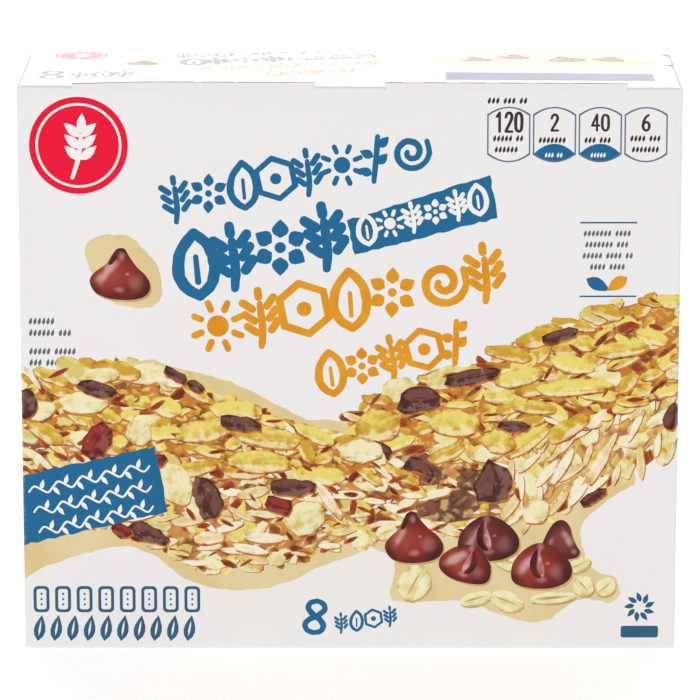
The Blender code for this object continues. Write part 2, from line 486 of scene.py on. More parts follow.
def own_place(tree):
    """Place inside one pictured grain."""
    return add_node(tree, "ShaderNodeAttribute", {"attribute_name": "print_place"}).outputs["Vector"]


def grain_ink(name, face, ridge, edge, gap, mottle=1.0, rim=0.8, core=0.68):
    """Ink of a pictured flake, sliver or chunk."""
    def colour(tree):
        return use_group(tree, PAINTED_GRAIN, Place=own_place(tree), Face=face, Ridge=ridge,
                         Edge=edge, Gap=gap, Mottle=mottle, Rim=rim, Core=core)["Color"]
    return printed_material(name, colour, unevenness=0.05)


def round_ink(name, dark, body, pale, glint):
    """Ink of a pictured chocolate chip."""
    def colour(tree):
        return use_group(tree, PAINTED_ROUND, Place=own_place(tree), Dark=dark, Body=body,
                         Pale=pale, Glint=glint)["Color"]
    return printed_material(name, colour, unevenness=0.04)


def crumb_ink(name, pale, yellow, honey, gap, heading, length, width, gap_width):
    """Ink between and behind the pictured flakes, whose small cells lean at a heading."""
    size = (length * MM, length * MM, width * MM)

    def colour(tree):
        group = add_node(tree, "ShaderNodeGroup", {"node_tree": PAINTED_CRUMBS}, Pale=pale,
                         Yellow=yellow, Honey=honey, Gap=gap, Gap_Width=gap_width)
        group.inputs["Heading"].default_value = (0.0, -heading, 0.0)
        group.inputs["Flake Size"].default_value = size
        return group.outputs["Color"]
    return printed_material(name, colour, unevenness=0.05)


def bare_board(name, low, high, shine=0.1):
    """Two tones of bare fibre for cut edges and the reverse; the same build gives the dark painted shade on
    the lips' cut edges.
    """
    def colour(tree):
        return mixed(tree, eased(tree, cloud(tree, object_place(tree), 1500.0, 4.0), 0.3, 0.7),
                     low, high)
    return printed_material(name, colour, unevenness=0.12, gloss=0.9, wear=0.0, shine=shine)


RAW_BOARD = bare_board("raw_board", paint(248, 246, 242), paint(254, 253, 250))
# Painted shade: the standing lips' cut edges are near black for the shadow in the slit behind them, though
# the board itself is pale.
PAINTED_SLIT_SHADE = bare_board("painted_slit_shade", paint(34, 28, 22), paint(52, 44, 34), shine=0.0)
INKS = {
    # Painted shade: a dark box for the carton's inside, though its board is pale.
    "inside": flat_ink("inside_shade", paint(96, 84, 70), unevenness=0.1, gloss=0.9, wear=0.0),
    # Painted shade: grey dashes on the top that stand for the shadow in the tear strip's cuts.
    "cut": flat_ink("cut_shade", paint(190, 184, 176), unevenness=0.05, gloss=0.8, wear=0.0),
    "board": flat_ink("coated_board", paint(243, 241, 240), unevenness=0.015, wear=0.2),
    "red": flat_ink("seal_red", paint(240, 0, 54), unevenness=0.06),
    "blue": flat_ink("garland_blue", paint(20, 105, 152), unevenness=0.08),
    "dark_blue": flat_ink("rule_blue", paint(44, 96, 130), unevenness=0.06),
    "dusk_blue": flat_ink("dusk_blue", paint(84, 92, 144), unevenness=0.05),
    "ink_black": flat_ink("numeral_black", paint(56, 46, 44), unevenness=0.05),
    "grey": flat_ink("rule_grey", paint(104, 106, 112), unevenness=0.05),
    "soft_grey": flat_ink("outline_grey", paint(96, 112, 140), unevenness=0.05),
    "amber": clouded_ink("garland_amber", paint(224, 146, 18), paint(232, 160, 32), 160.0),
    # Painted shade: a dark strip printed along the lips' top edge for the slit's shadow.
    "hinge_shade": flat_ink("hinge_shade", paint(66, 56, 44), unevenness=0.2, gloss=0.9),
    # Paler, greyer blue, amber and red for the top: painted glare, standing in for the washing out by a
    # strong reflection.
    "glare_paled_blue": flat_ink("glare_paled_blue", paint(70, 102, 124), unevenness=0.08),
    "glare_paled_amber": flat_ink("glare_paled_amber", paint(208, 172, 112), unevenness=0.06),
    "glare_paled_red": flat_ink("glare_paled_red", paint(218, 44, 82), unevenness=0.07),
    "white": flat_ink("knocked_out_white", paint(246, 244, 240), unevenness=0.02),
    "tan": clouded_ink("tan_wash", paint(228, 203, 146), paint(233, 214, 166), 70.0,
                       unevenness=0.03),
    "tan_shadow": clouded_ink("pictured_tan_shadow", paint(188, 156, 100), paint(208, 180, 124),
                              300.0),
    "crumbs": crumb_ink("pictured_crumbs", paint(238, 216, 128), paint(222, 182, 66),
                        paint(202, 124, 44), paint(122, 40, 20), radians(-8), 4.0, 1.9, 0.11),
    "cut_crumbs": crumb_ink("pictured_cut_crumbs", paint(248, 234, 200), paint(228, 202, 118),
                            paint(208, 142, 66), paint(128, 46, 26), radians(24), 3.8, 1.7, 0.14),
    "pale_crumbs": crumb_ink("pictured_pale_crumbs", paint(248, 238, 208), paint(232, 212, 140),
                             paint(218, 176, 92), paint(180, 96, 46), radians(60), 5.0, 1.9, 0.07),
    "melt": crumb_ink("pictured_melt", paint(206, 166, 116), paint(176, 126, 88),
                      paint(132, 80, 60), paint(84, 44, 36), radians(20), 3.6, 2.4, 0.12),
    "crumb_shadow": clouded_ink("pictured_shadow", paint(146, 56, 24), paint(206, 132, 52), 420.0,
                                start=0.34, end=0.56),
    "gap": grain_ink("pictured_gap", paint(108, 28, 18), paint(158, 56, 26), paint(146, 48, 24),
                     paint(212, 146, 64), 1.3, 0.3, 0.1),
    "flake": grain_ink("pictured_flake", paint(212, 164, 44), paint(240, 220, 112),
                       paint(248, 236, 186), paint(182, 96, 34), 1.0, 0.75),
    "sliver": grain_ink("pictured_sliver", paint(232, 206, 136), paint(251, 242, 214),
                        paint(254, 249, 236), paint(196, 122, 62), 0.9, 0.5),
    "puff": grain_ink("pictured_puff", paint(222, 202, 112), paint(246, 238, 190),
                      paint(250, 244, 222), paint(200, 148, 68), 0.9, 0.5),
    "chunk": grain_ink("pictured_chunk", paint(80, 38, 32), paint(118, 72, 62),
                       paint(178, 134, 118), paint(60, 24, 20), 1.5, 0.35),
    "berry": grain_ink("pictured_berry", paint(112, 28, 28), paint(156, 50, 46),
                       paint(198, 116, 96), paint(76, 20, 18), 1.5, 0.35),
    "red_chunk": grain_ink("pictured_red_chunk", paint(108, 28, 18), paint(170, 56, 30),
                           paint(210, 116, 62), paint(204, 128, 60), 1.3, 0.3, 0.3),
    "chip": round_ink("pictured_chip", paint(80, 22, 20), paint(146, 44, 36),
                      paint(164, 72, 60), paint(220, 176, 168)),
    "dark_chip": round_ink("pictured_dark_chip", paint(62, 22, 22), paint(112, 40, 36),
                           paint(136, 66, 60), paint(200, 158, 154)),
    "chip_fold": clouded_ink("pictured_chip_fold", paint(48, 14, 14), paint(92, 30, 28), 400.0),
    "chip_gleam": clouded_ink("pictured_chip_gleam", paint(166, 100, 92), paint(214, 168, 158),
                              500.0),
    "oat": grain_ink("pictured_oat", paint(228, 212, 134), paint(246, 240, 196),
                     paint(250, 246, 224), paint(206, 176, 100), 0.9, 0.4),
}


# ---------------------------------------------------------------- print


class Field:
    """A closed shape of print: outline, ink, and the place and axes its shading is drawn on."""

    def __init__(self, outline, ink, centre=None, along=None, across=None, tone=0.5):
        self.outline = wound(outline)
        self.ink = ink
        self.tone = tone
        self.centre = centre
        if centre is not None:
            self.to_own = Matrix(((along.x, across.x), (along.y, across.y))).inverted_safe()

    def own_place(self, point):
        """A point in the shape's own terms: -1 to 1 along and across."""
        if self.centre is None:
            return (0.0, 0.0, self.tone)
        return (*(self.to_own @ (point - self.centre)), self.tone)

    def moved(self, scale=1.0, turn=0.0, shift=(0.0, 0.0)):
        """A copy of the shape, scaled, then turned, then shifted."""
        shift = Vector(shift)
        copy = Field([turned(point * scale, turn) + shift for point in self.outline], self.ink,
                     tone=self.tone)
        if self.centre is not None:
            copy.centre = turned(self.centre * scale, turn) + shift
            copy.to_own = self.to_own @ Matrix.Rotation(-turn, 2) * (1 / scale)
        return copy

    def reaches(self, low, high):
        """Whether the shape lies at least partly in a window."""
        across = [point.x for point in self.outline]
        upward = [point.y for point in self.outline]
        return (min(across) < high.x and max(across) > low.x
                and min(upward) < high.y and max(upward) > low.y)


def settle(point):
    """Lower the top's front crease towards its right-hand end."""
    row = HEIGHT / SWELL_ROWS
    share = min(max((point.z - HEIGHT + row) / row, 0.0), 1.0)
    to_right = point.x / WIDTH + 0.5
    to_front = 0.5 - point.y / DEPTH
    point.z -= FRONT_EDGE_DROP * to_right * to_front * share
    return point


class Panel:
    """One face of the carton: a sheet of print with the creases that it is folded at."""

    def __init__(self, name, anchor, right, up, face, sheet=None, swell=0.0, folds=(),
                 standing=()):
        self.name = name
        self.anchor, self.right, self.up = Vector(anchor), Vector(right), Vector(up)
        self.out = self.right.cross(self.up)
        self.face = face
        self.sheet = sheet or rectangle(*face)
        self.low = at(min(p.x for p in self.sheet), min(p.y for p in self.sheet))
        self.high = at(max(p.x for p in self.sheet), max(p.y for p in self.sheet))
        self.swell = swell
        self.folds = folds
        self.standing = standing

    def bend(self, value, low, high, sides):
        """The flat part of a coordinate, and the angle turned past it at a crease."""
        for side, edge, sign in ((sides[0], low, -1), (sides[1], high, 1)):
            past = sign * (value - edge) + CREASE_RADIUS
            if side in self.folds and past > 0:
                return edge - sign * CREASE_RADIUS, sign * pi / 4 * past / CREASE_RADIUS
        return value, 0.0

    def stands(self, point):
        """Whether a point is on a stretch of the upper edge that isn't folded over."""
        return (any(start <= point.x <= end for start, end in self.standing)
                and point.y > self.face[1].y - 2 * CREASE_RADIUS)

    def fold(self, point):
        """The point of the folded sheet, in metres, and the way that the board faces there."""
        low, high = self.face
        across, turn = self.bend(point.x, low.x, high.x, ("left", "right"))
        upward, tip = self.bend(point.y, low.y, high.y, ("bottom", "top"))
        if self.stands(point):
            upward, tip = point.y, 0.0
        facing = Vector((tan(turn), tan(tip), 1.0)).normalized()
        shares = [min(max((c - a) / (b - a), 0.0), 1.0)
                  for c, a, b in zip(point, low, high)]
        crown = self.swell * sin(pi * shares[0]) * sin(pi * shares[1])
        ray = facing * CREASE_RADIUS
        place = (self.anchor + self.right * (across + ray.x) + self.up * (upward + ray.y)
                 + self.out * (ray.z - CREASE_RADIUS + crown))
        outward = self.right * facing.x + self.up * facing.y + self.out * facing.z
        return settle(place) * MM, outward


def guide_lines(panel):
    """Cuts along the creases, and loose points that carry the swell."""
    low, high = panel.low, panel.high
    edges = []
    steps = [CREASE_RADIUS * k / FOLD_STEPS for k in range(1, FOLD_STEPS + 1)]
    face_low, face_high = panel.face
    for inset in steps:
        for side, x in (("left", face_low.x + inset), ("right", face_high.x - inset)):
            if side in panel.folds and low.x < x < high.x:
                edges.append((at(x, low.y), at(x, high.y)))
        for side, y in (("bottom", face_low.y + inset), ("top", face_high.y - inset)):
            if side in panel.folds and low.y < y < high.y:
                edges.append((at(low.x, y), at(high.x, y)))
    size = high - low
    columns, rows = (max(2, round(length / GRID_STEP)) for length in size)
    grid = [at(low.x + size.x * i / columns, low.y + size.y * j / rows)
            for i in range(columns + 1) for j in range(rows + 1)]
    return edges, grid


def split_sheet(panel, fields, openings):
    """Split a panel's window along every outline; the topmost shape owns each triangle."""
    low, high = panel.low, panel.high
    shapes = [field for field in fields if field.reaches(low, high)]
    outlines = [wound(panel.sheet)] + [field.outline for field in shapes]
    outlines += [wound(opening) for opening in openings]
    points, faces = [], []
    for outline in outlines:
        faces.append(list(range(len(points), len(points) + len(outline))))
        points.extend(outline)
    lines, grid = guide_lines(panel)
    edges = []
    for start, end in lines:
        edges.append((len(points), len(points) + 1))
        points.extend((start, end))
    points.extend(grid)
    places, _, pieces, _, _, sources = delaunay_2d_cdt(points, edges, faces, 0, JOIN_DISTANCE, True)
    first_opening = 1 + len(shapes)
    kept, owners = [], []
    for piece, source in zip(pieces, sources):
        top = max(source, default=0)
        if 0 not in source or top >= first_opening:
            continue
        kept.append(tuple(piece))
        owners.append(shapes[top - 1] if top else None)
    return places, kept, owners


def reverse_side(places, rim):
    """Triangles that close the reverse of a sheet inside its rim, as triples of places."""
    names = sorted({end for edge in rim for end in edge})
    order = {name: index for index, name in enumerate(names)}
    points = [places[name] for name in names]
    edges = [(order[a], order[b]) for a, b in rim]
    _, _, pieces, origins, _, _ = delaunay_2d_cdt(points, edges, [], 1, JOIN_DISTANCE, True)
    return [tuple(names[origins[corner][0]] for corner in piece) for piece in pieces]


def make_board(panel, fields, openings=()):
    """A printed panel as closed board: ink fields in front, bare fibre at the edges and behind, and dark
    painted slit shade on the cut edges of the standing lips.
    """
    places, kept, owners = split_sheet(panel, fields, openings)
    used = sorted({corner for piece in kept for corner in piece})
    order = {corner: index for index, corner in enumerate(used)}
    flat = [places[corner] for corner in used]
    front = [tuple(order[corner] for corner in piece) for piece in kept]
    folded = [panel.fold(point) for point in flat]
    points = [place for place, _ in folded]

    sides = {(a, b) for piece in front for a, b in zip(piece, piece[1:] + piece[:1])}
    rim = [(a, b) for a, b in sides if (b, a) not in sides]
    rim.sort()
    behind = {}
    for name in sorted({end for edge in rim for end in edge}):
        behind[name] = len(points)
        place, outward = folded[name]
        points.append(place - outward * BOARD * MM)
    edge_faces = [(b, a, behind[a], behind[b]) for a, b in rim]
    back = [tuple(behind[corner] for corner in piece[::-1]) for piece in reverse_side(flat, rim)]

    mesh = bpy.data.meshes.new(panel.name)
    mesh.from_pydata(points, [], front + edge_faces + back)
    slots = {}
    for polygon, owner in zip(mesh.polygons, owners):
        ink = owner.ink if owner else "board"
        if ink not in slots:
            slots[ink] = len(slots)
            mesh.materials.append(INKS[ink])
        polygon.material_index = slots[ink]
    mesh.materials.append(RAW_BOARD)
    mesh.materials.append(PAINTED_SLIT_SHADE)
    for polygon in mesh.polygons[len(front):]:
        polygon.material_index = len(slots)
    # The cut edges of the standing lips take the painted slit shade instead of bare fibre.
    for polygon, (start, _) in zip(mesh.polygons[len(front):], rim):
        if panel.stands(places[start]):
            polygon.material_index = len(slots) + 1
    mark_places(mesh, flat, front, owners)
    mark_bake_map(mesh, panel, flat, front, len(edge_faces))
    finish_shading(mesh, len(front))
    return add_piece(panel.name, mesh)


def mark_places(mesh, flat, front, owners):
    """Store on each corner of the front its place inside the shape that owns it."""
    values = []
    for piece, owner in zip(front, owners):
        for corner in piece:
            values.extend(owner.own_place(flat[corner]) if owner else (0.0, 0.0, 0.5))
    values.extend([0.0] * (len(mesh.loops) * 3 - len(values)))
    place = mesh.attributes.new("print_place", "FLOAT_VECTOR", "CORNER")
    place.data.foreach_set("vector", values)


def mark_bake_map(mesh, panel, flat, front, edge_count):
    """A flat map: the print as it lies, with the cut edges and the reverse in the margin."""
    size = panel.high - panel.low
    margin = 0.06
    scale = (1 - margin) / max(size)
    values = []
    for piece in front:
        for corner in piece:
            values.extend((flat[corner] - panel.low) * scale + at(0.0, margin))
    for index in range(edge_count):
        left, right = index / edge_count, (index + 0.8) / edge_count
        values.extend((left, 0.0, right, 0.0, right, 0.008, left, 0.008))
    small = 0.04 / max(size)
    out, right, up = panel.out, panel.right, panel.up
    for polygon in mesh.polygons[len(front) + edge_count:]:
        for name in polygon.vertices:
            place = mesh.vertices[name].co / MM - panel.anchor
            values.extend((at(place.dot(right), place.dot(up)) - panel.low) * small + at(0.0, 0.012))
    mesh.uv_layers.new(name="OFBake").data.foreach_set("uv", values)


def finish_shading(mesh, front_count):
    """Smooth the printed side, and keep the cut edges crisp."""
    smooth_faces = [index < front_count for index in range(len(mesh.polygons))]
    mesh.polygons.foreach_set("use_smooth", smooth_faces)
    mesh.set_sharp_from_angle(angle=radians(40))
    mesh.update()


def add_piece(name, mesh):
    """Put a finished mesh on the carton in place of its plain solid."""
    mesh.validate()
    piece = bpy.data.objects.new(name, mesh)
    bpy.context.scene.collection.objects.link(piece)
    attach(piece, "root")
    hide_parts("carton")
    return piece


# ---------------------------------------------------------------- scattered grains


def scatter_tree():
    """Geometry nodes that strew grains over a region: spaced points, turned and sized ovals."""
    tree = bpy.data.node_groups.new("Strewn grains", "GeometryNodeTree")
    for label, kind, default in (
            ("Region", "Geometry", None), ("Spacing", "Float", 3.0), ("Half Length", "Float", 2.0),
            ("Length Range", "Float", 0.35), ("Slimness", "Float", 0.5),
            ("Heading", "Float", 0.0), ("Heading Range", "Float", 0.5), ("Wobble", "Float", 0.15),
            ("Corners", "Int", 10), ("Seed", "Int", 1), ("Ink", "Material", None)):
        socket = tree.interface.new_socket(label, in_out="INPUT", socket_type=f"NodeSocket{kind}")
        if default is not None:
            socket.default_value = default
    tree.interface.new_socket("Grains", in_out="OUTPUT", socket_type="NodeSocketGeometry")
    given = tree.nodes.new("NodeGroupInput").outputs
    result = tree.nodes.new("NodeGroupOutput").inputs[0]

    points = add_node(tree, "GeometryNodeDistributePointsOnFaces",
                      {"distribute_method": "POISSON"}, Mesh=given["Region"],
                      Distance_Min=given["Spacing"], Density_Max=4.0, Seed=given["Seed"])
    grain = add_node(tree, "GeometryNodeMeshCircle", {"fill_type": "NGON"},
                     Vertices=given["Corners"], Radius=1.0)
    place = tree.nodes.new("GeometryNodeInputPosition").outputs[0]
    marked = add_node(tree, "GeometryNodeStoreNamedAttribute",
                      {"data_type": "FLOAT_VECTOR", "domain": "POINT"},
                      Geometry=grain.outputs["Mesh"], Name="own", Value=place)

    def chance(low, high, seed):
        node = add_node(tree, "FunctionNodeRandomValue", {"data_type": "FLOAT"})
        for socket, value in ((node.inputs[2], low), (node.inputs[3], high)):
            if isinstance(value, bpy.types.NodeSocket):
                tree.links.new(value, socket)
            else:
                socket.default_value = value
        shifted = maths(tree, "ADD", given["Seed"], seed)
        tree.links.new(shifted, node.inputs["Seed"])
        return node.outputs[1]

    swing = maths(tree, "MULTIPLY", chance(-1.0, 1.0, 11), given["Heading Range"])
    heading = maths(tree, "ADD", given["Heading"], swing)
    turn = add_node(tree, "ShaderNodeCombineXYZ", Z=heading)
    least = maths(tree, "SUBTRACT", 1.0, given["Length Range"])
    most = maths(tree, "ADD", 1.0, given["Length Range"])
    length = maths(tree, "MULTIPLY", given["Half Length"], chance(least, most, 23))
    width = maths(tree, "MULTIPLY", maths(tree, "MULTIPLY", length, given["Slimness"]),
                  chance(0.7, 1.3, 37))
    size = add_node(tree, "ShaderNodeCombineXYZ", X=length, Y=width, Z=1.0)
    strewn = add_node(tree, "GeometryNodeInstanceOnPoints", Points=points.outputs["Points"],
                      Instance=marked.outputs[0], Rotation=turn.outputs[0], Scale=size.outputs[0])
    toned = add_node(tree, "GeometryNodeStoreNamedAttribute",
                     {"data_type": "FLOAT", "domain": "INSTANCE"},
                     Geometry=strewn.outputs[0], Name="tone", Value=chance(0.0, 1.0, 41))
    real = add_node(tree, "GeometryNodeRealizeInstances", Geometry=toned.outputs[0])
    ripple = add_node(tree, "ShaderNodeTexNoise", Vector=place, Scale=0.9, Detail=1.0)
    push = add_node(tree, "ShaderNodeVectorMath", {"operation": "SUBTRACT"})
    tree.links.new(ripple.outputs["Color"], push.inputs[0])
    push.inputs[1].default_value = (0.5, 0.5, 0.5)
    reach = maths(tree, "MULTIPLY", maths(tree, "MULTIPLY", given["Half Length"], given["Wobble"]),
                  maths(tree, "SQRT", given["Slimness"]))
    scaled = add_node(tree, "ShaderNodeVectorMath", {"operation": "SCALE"},
                      Vector=push.outputs[0], Scale=reach)
    moved = add_node(tree, "GeometryNodeSetPosition", Geometry=real.outputs[0],
                     Offset=scaled.outputs[0])
    inked = add_node(tree, "GeometryNodeSetMaterial", Geometry=moved.outputs[0],
                     Material=given["Ink"])
    tree.links.new(inked.outputs[0], result)
    return tree


SCATTER = scatter_tree()


def strew(region, ink, spacing, half_length, slimness, heading, spread, seed,
          corners=10, wobble=0.5, length_range=0.35, shadow=None):
    """Grains strewn over a region of print, in groups: each grain, over its shadow if it has one."""
    mesh = bpy.data.meshes.new("region")
    mesh.from_pydata([(point.x, point.y, 0.0) for point in region], [],
                     [list(range(len(region)))])
    holder = bpy.data.objects.new("region", mesh)
    bpy.context.scene.collection.objects.link(holder)
    modifier = holder.modifiers.new("Grains", "NODES")
    modifier.node_group = SCATTER
    settings = {"Spacing": spacing, "Half Length": half_length, "Length Range": length_range,
                "Slimness": slimness, "Heading": heading, "Heading Range": spread,
                "Wobble": wobble, "Corners": corners, "Seed": seed, "Ink": INKS[ink]}
    for item in SCATTER.interface.items_tree:
        if item.name in settings:
            modifier[item.identifier] = settings[item.name]
    depsgraph = bpy.context.evaluated_depsgraph_get()
    grains = bpy.data.meshes.new_from_object(holder.evaluated_get(depsgraph))
    bpy.data.objects.remove(holder)
    bpy.data.meshes.remove(mesh)
    own = [item.vector.copy() for item in grains.attributes["own"].data]
    tones = grains.attributes["tone"]
    groups = []
    for polygon in grains.polygons:
        corners_used = list(polygon.vertices)
        outline = [grains.vertices[name].co.to_2d() for name in corners_used]
        if crosses_itself(outline):
            continue
        middle = sum(outline, at(0.0, 0.0)) / len(outline)
        quarter = len(outline) // 4
        along, across = own_axes([own[name] for name in corners_used], outline, middle)
        index = polygon.index if tones.domain == "FACE" else corners_used[quarter]
        tone = tones.data[index].value
        group = [Field(outline, ink, middle, along, across, tone)]
        if shadow:
            group.insert(0, Field([point + shadow for point in outline], "crumb_shadow"))
        groups.append(group)
    bpy.data.meshes.remove(grains)
    return groups


def own_axes(own, outline, middle):
    """The grain's long and short half-axes on the panel, from its unit circle's corners."""
    along = sum(((point - middle) * place.x for place, point in zip(own, outline)), at(0, 0))
    across = sum(((point - middle) * place.y for place, point in zip(own, outline)), at(0, 0))
    share = 2 / len(outline)
    along, across = along * share, across * share
    return (along, across) if across.y >= 0 else (-along, -across)


def heaped(groups, seed):
    """Groups of fields in a random but fixed order, as one list."""
    random.Random(seed).shuffle(groups)
    return [field for group in groups for field in group]


def granola_top(region, heading, seed):
    """A pictured bar's upper face: broad flakes that lie along the bar, with dark gaps."""
    drop = at(0.12, -0.38)
    fields = [Field(torn(region, 1.6, 0.6, seed), "crumbs")]
    middle = strew(region, "flake", 4.4, 3.0, 0.52, heading, 1.0, seed + 2, 12, 0.9, shadow=drop)
    middle += strew(region, "puff", 12.0, 3.6, 0.58, heading, 0.6, seed + 3, 12, 0.6, shadow=drop)
    middle += strew(region, "red_chunk", 19.0, 2.6, 0.5, heading, 0.8, seed + 4, 10, 0.9)
    middle += strew(region, "gap", 7.0, 2.6, 0.4, heading, 1.2, seed + 10, 10, 0.9)
    fields += heaped(middle, seed)
    upper = strew(region, "flake", 8.4, 5.0, 0.36, heading, 0.5, seed + 5, 14, 0.7, shadow=drop)
    upper += strew(region, "puff", 19.0, 4.2, 0.46, heading, 0.6, seed + 7, 12, 0.6, shadow=drop)
    upper += strew(region, "sliver", 11.0, 2.8, 0.26, heading, 0.9, seed + 6, 8, 0.5)
    upper += strew(region, "gap", 6.4, 2.2, 0.26, heading, 0.9, seed + 8, 8, 0.8)
    return fields + heaped(upper, seed + 9)


def granola_side(region, heading, seed, base="cut_crumbs", gaps=6.0):
    """A pictured bar's cut side: pale flakes on edge among faces, puffs and dark pieces."""
    drop = at(0.28, -0.22)
    fields = [Field(torn(region, 1.6, 0.6, seed), base)]
    middle = strew(region, "flake", 6.6, 2.9, 0.55, heading, 1.3, seed + 2, 12, 0.9)
    middle += strew(region, "puff", 7.4, 3.4, 0.62, heading, 1.0, seed + 3, 12, 0.7, shadow=drop)
    middle += strew(region, "gap", gaps, 2.4, 0.5, heading, 1.4, seed + 4, 10, 0.9)
    fields += heaped(middle, seed)
    upper = strew(region, "sliver", 4.7, 3.6, 0.25, heading, 0.6, seed + 5, 10, 0.5, shadow=drop)
    upper += strew(region, "puff", 15.0, 3.0, 0.7, heading, 0.8, seed + 6, 12, 0.6)
    upper += strew(region, "gap", gaps * 0.9, 1.8, 0.32, heading, 0.8, seed + 8, 8, 0.8)
    return fields + heaped(upper, seed + 9)


# ---------------------------------------------------------------- motifs


class Brushwork:
    """Draws brush motifs that stand on a slanted line, in one ink and one brush width."""

    def __init__(self, ink, width):
        self.ink = ink
        self.width = width
        self.fields = []
        self.foot = at(0.0, 0.0)
        self.slant = 0.0
        self.height = 10.0

    def stand(self, foot, height, slant=0.0):
        """Where the next motif stands, how tall it is and how it leans."""
        self.foot, self.height, self.slant = foot, height, slant
        return self

    def spot(self, x, y):
        """A place in the motif: x across and y up, as shares of its height."""
        return self.foot + turned(at(x, y) * self.height, self.slant)

    def stroke(self, *places, weight=1.0, steps=4):
        """A brush stroke through places of the motif."""
        path = smooth([self.spot(x, y) for x, y in places], steps, closed=False)
        self.fields.append(Field(brush(path, self.width * weight, seed=len(self.fields)), self.ink))

    def leaf(self, base, tip, weight=1.6):
        """A solid leaf or grain between two places of the motif."""
        outline = lens(self.spot(*base), self.spot(*tip), self.width * weight)
        self.fields.append(Field(outline, self.ink))

    def dot(self, x, y, weight=1.0):
        """A round dab."""
        half = self.width * weight / 2
        self.fields.append(Field(oval(self.spot(x, y), half, half, steps=14), self.ink))


def ear(pen):
    """An ear of oats: a bent stem with paired grains."""
    pen.stroke((-0.10, 0.0), (-0.02, 0.30), (0.02, 0.74), weight=0.78)
    for height in (0.22, 0.43, 0.64):
        for side in (-1, 1):
            pen.stroke((0.13 * side, height + 0.03), (0.27 * side, height + 0.17),
                       weight=0.95, steps=1)
    pen.stroke((0.02, 0.86), (0.03, 0.98), weight=0.95, steps=1)


def hollow_leaf(pen):
    """An outlined leaf with a midrib."""
    pen.stroke((-0.02, 0.0), (-0.20, 0.17), (-0.27, 0.42), (-0.16, 0.75), (0.10, 1.0), weight=0.95)
    pen.stroke((-0.02, 0.0), (0.20, 0.15), (0.31, 0.42), (0.28, 0.75), (0.10, 1.0), weight=0.95)
    pen.stroke((0.0, 0.22), (0.05, 0.62), weight=0.55, steps=1)


def sprig(pen):
    """A bowed twig with leaves on alternate sides."""
    pen.stroke((-0.16, 0.0), (-0.02, 0.46), (0.12, 0.96), weight=0.78)
    for index, height in enumerate((0.16, 0.36, 0.54, 0.72)):
        side = 1 if index % 2 else -1
        foot = -0.16 + 0.28 * height
        pen.leaf((foot + 0.05 * side, height), (foot + 0.32 * side, height + 0.19), weight=1.25)


def bloom(pen):
    """A flower of six petals round a dab."""
    for index in range(6):
        angle = 2 * pi * index / 6 + 0.3
        x, y = cos(angle), sin(angle)
        pen.leaf((0.15 * x, 0.48 + 0.15 * y), (0.45 * x, 0.48 + 0.45 * y), weight=1.35)
    pen.dot(0.0, 0.48, weight=0.9)


def comb(pen):
    """A cell of honeycomb with a dab in it."""
    for side in (-1, 1):
        pen.stroke((0.0, 0.96), (0.39 * side, 0.74), (0.39 * side, 0.27), (0.0, 0.05),
                   weight=0.9, steps=1)
    pen.dot(0.0, 0.5, weight=1.5)


def swirl(pen):
    """A spiral of syrup."""
    turns, steps = 1.6, 16
    places = []
    for index in range(steps + 1):
        share = index / steps
        radius = 0.43 - 0.35 * share
        angle = 0.4 - 2 * pi * turns * share
        places.append((radius * cos(angle), 0.47 + radius * sin(angle)))
    pen.stroke(*places, weight=0.85, steps=2)


def sunburst(pen):
    """A dab with short rays."""
    pen.dot(0.0, 0.5, weight=2.2)
    for index in range(8):
        angle = 2 * pi * index / 8 + 0.2
        x, y = cos(angle), sin(angle)
        pen.stroke((0.31 * x, 0.5 + 0.31 * y), (0.44 * x, 0.5 + 0.44 * y), weight=0.8, steps=1)


MOTIF_WIDTHS = {ear: 0.62, hollow_leaf: 0.68, sprig: 0.66, bloom: 0.88, comb: 0.90, swirl: 0.92,
                sunburst: 0.94}


def garland(ink, width, start, end, height, motifs):
    """A row of brush motifs along a slanted line, spaced by their widths."""
    pen = Brushwork(ink, width)
    run = end - start
    slant = run.angle_signed(at(1.0, 0.0))
    total = sum(MOTIF_WIDTHS[motif] for motif in motifs)
    along = 0.0
    for motif in motifs:
        share = (along + MOTIF_WIDTHS[motif] / 2) / total
        motif(pen.stand(start + run * share, height, slant))
        along += MOTIF_WIDTHS[motif]
    return pen.fields


def vine(ink, width, start, end, height, waves):
    """A wavy stem with small leaves, the size of a written line."""
    pen = Brushwork(ink, width)
    run = end - start
    pen.stand(start, run.length, run.angle_signed(at(1.0, 0.0)))
    tall = height / run.length
    steps = waves * 4
    pen.stroke(*((k / steps, tall * 0.28 * sin(pi / 2 * k)) for k in range(steps + 1)), steps=3)
    for index in range(1, 2 * waves):
        x = index / (2 * waves)
        side = 1 if index % 2 else -1
        pen.leaf((x, 0.0), (x + tall * 0.3, side * tall * 0.6), weight=2.0)
    return pen.fields


def small_print(ink, start, length, height, seed, lines=1, pitch=1.4, slant=0.0):
    """Rows of little leaning grains in groups, where small print would run."""
    draw = random.Random(seed)
    step = height * 0.56
    fields = []
    for line in range(lines):
        along = 0.0
        stop = length * (draw.uniform(0.55, 0.95) if line == lines - 1 > 0 else 1.0)
        while along < stop - step:
            for _ in range(draw.randint(3, 8)):
                if along > stop - step:
                    break
                foot = start + turned(at(along + step / 2, -line * pitch * height), slant)
                rise = turned(at(height * 0.12, height / 2), slant)
                middle = foot + turned(at(0.0, height / 2), slant)
                fields.append(Field(lens(middle - rise, middle + rise, height * 0.45, 3), ink))
                along += step
            along += step * 0.8
    return fields


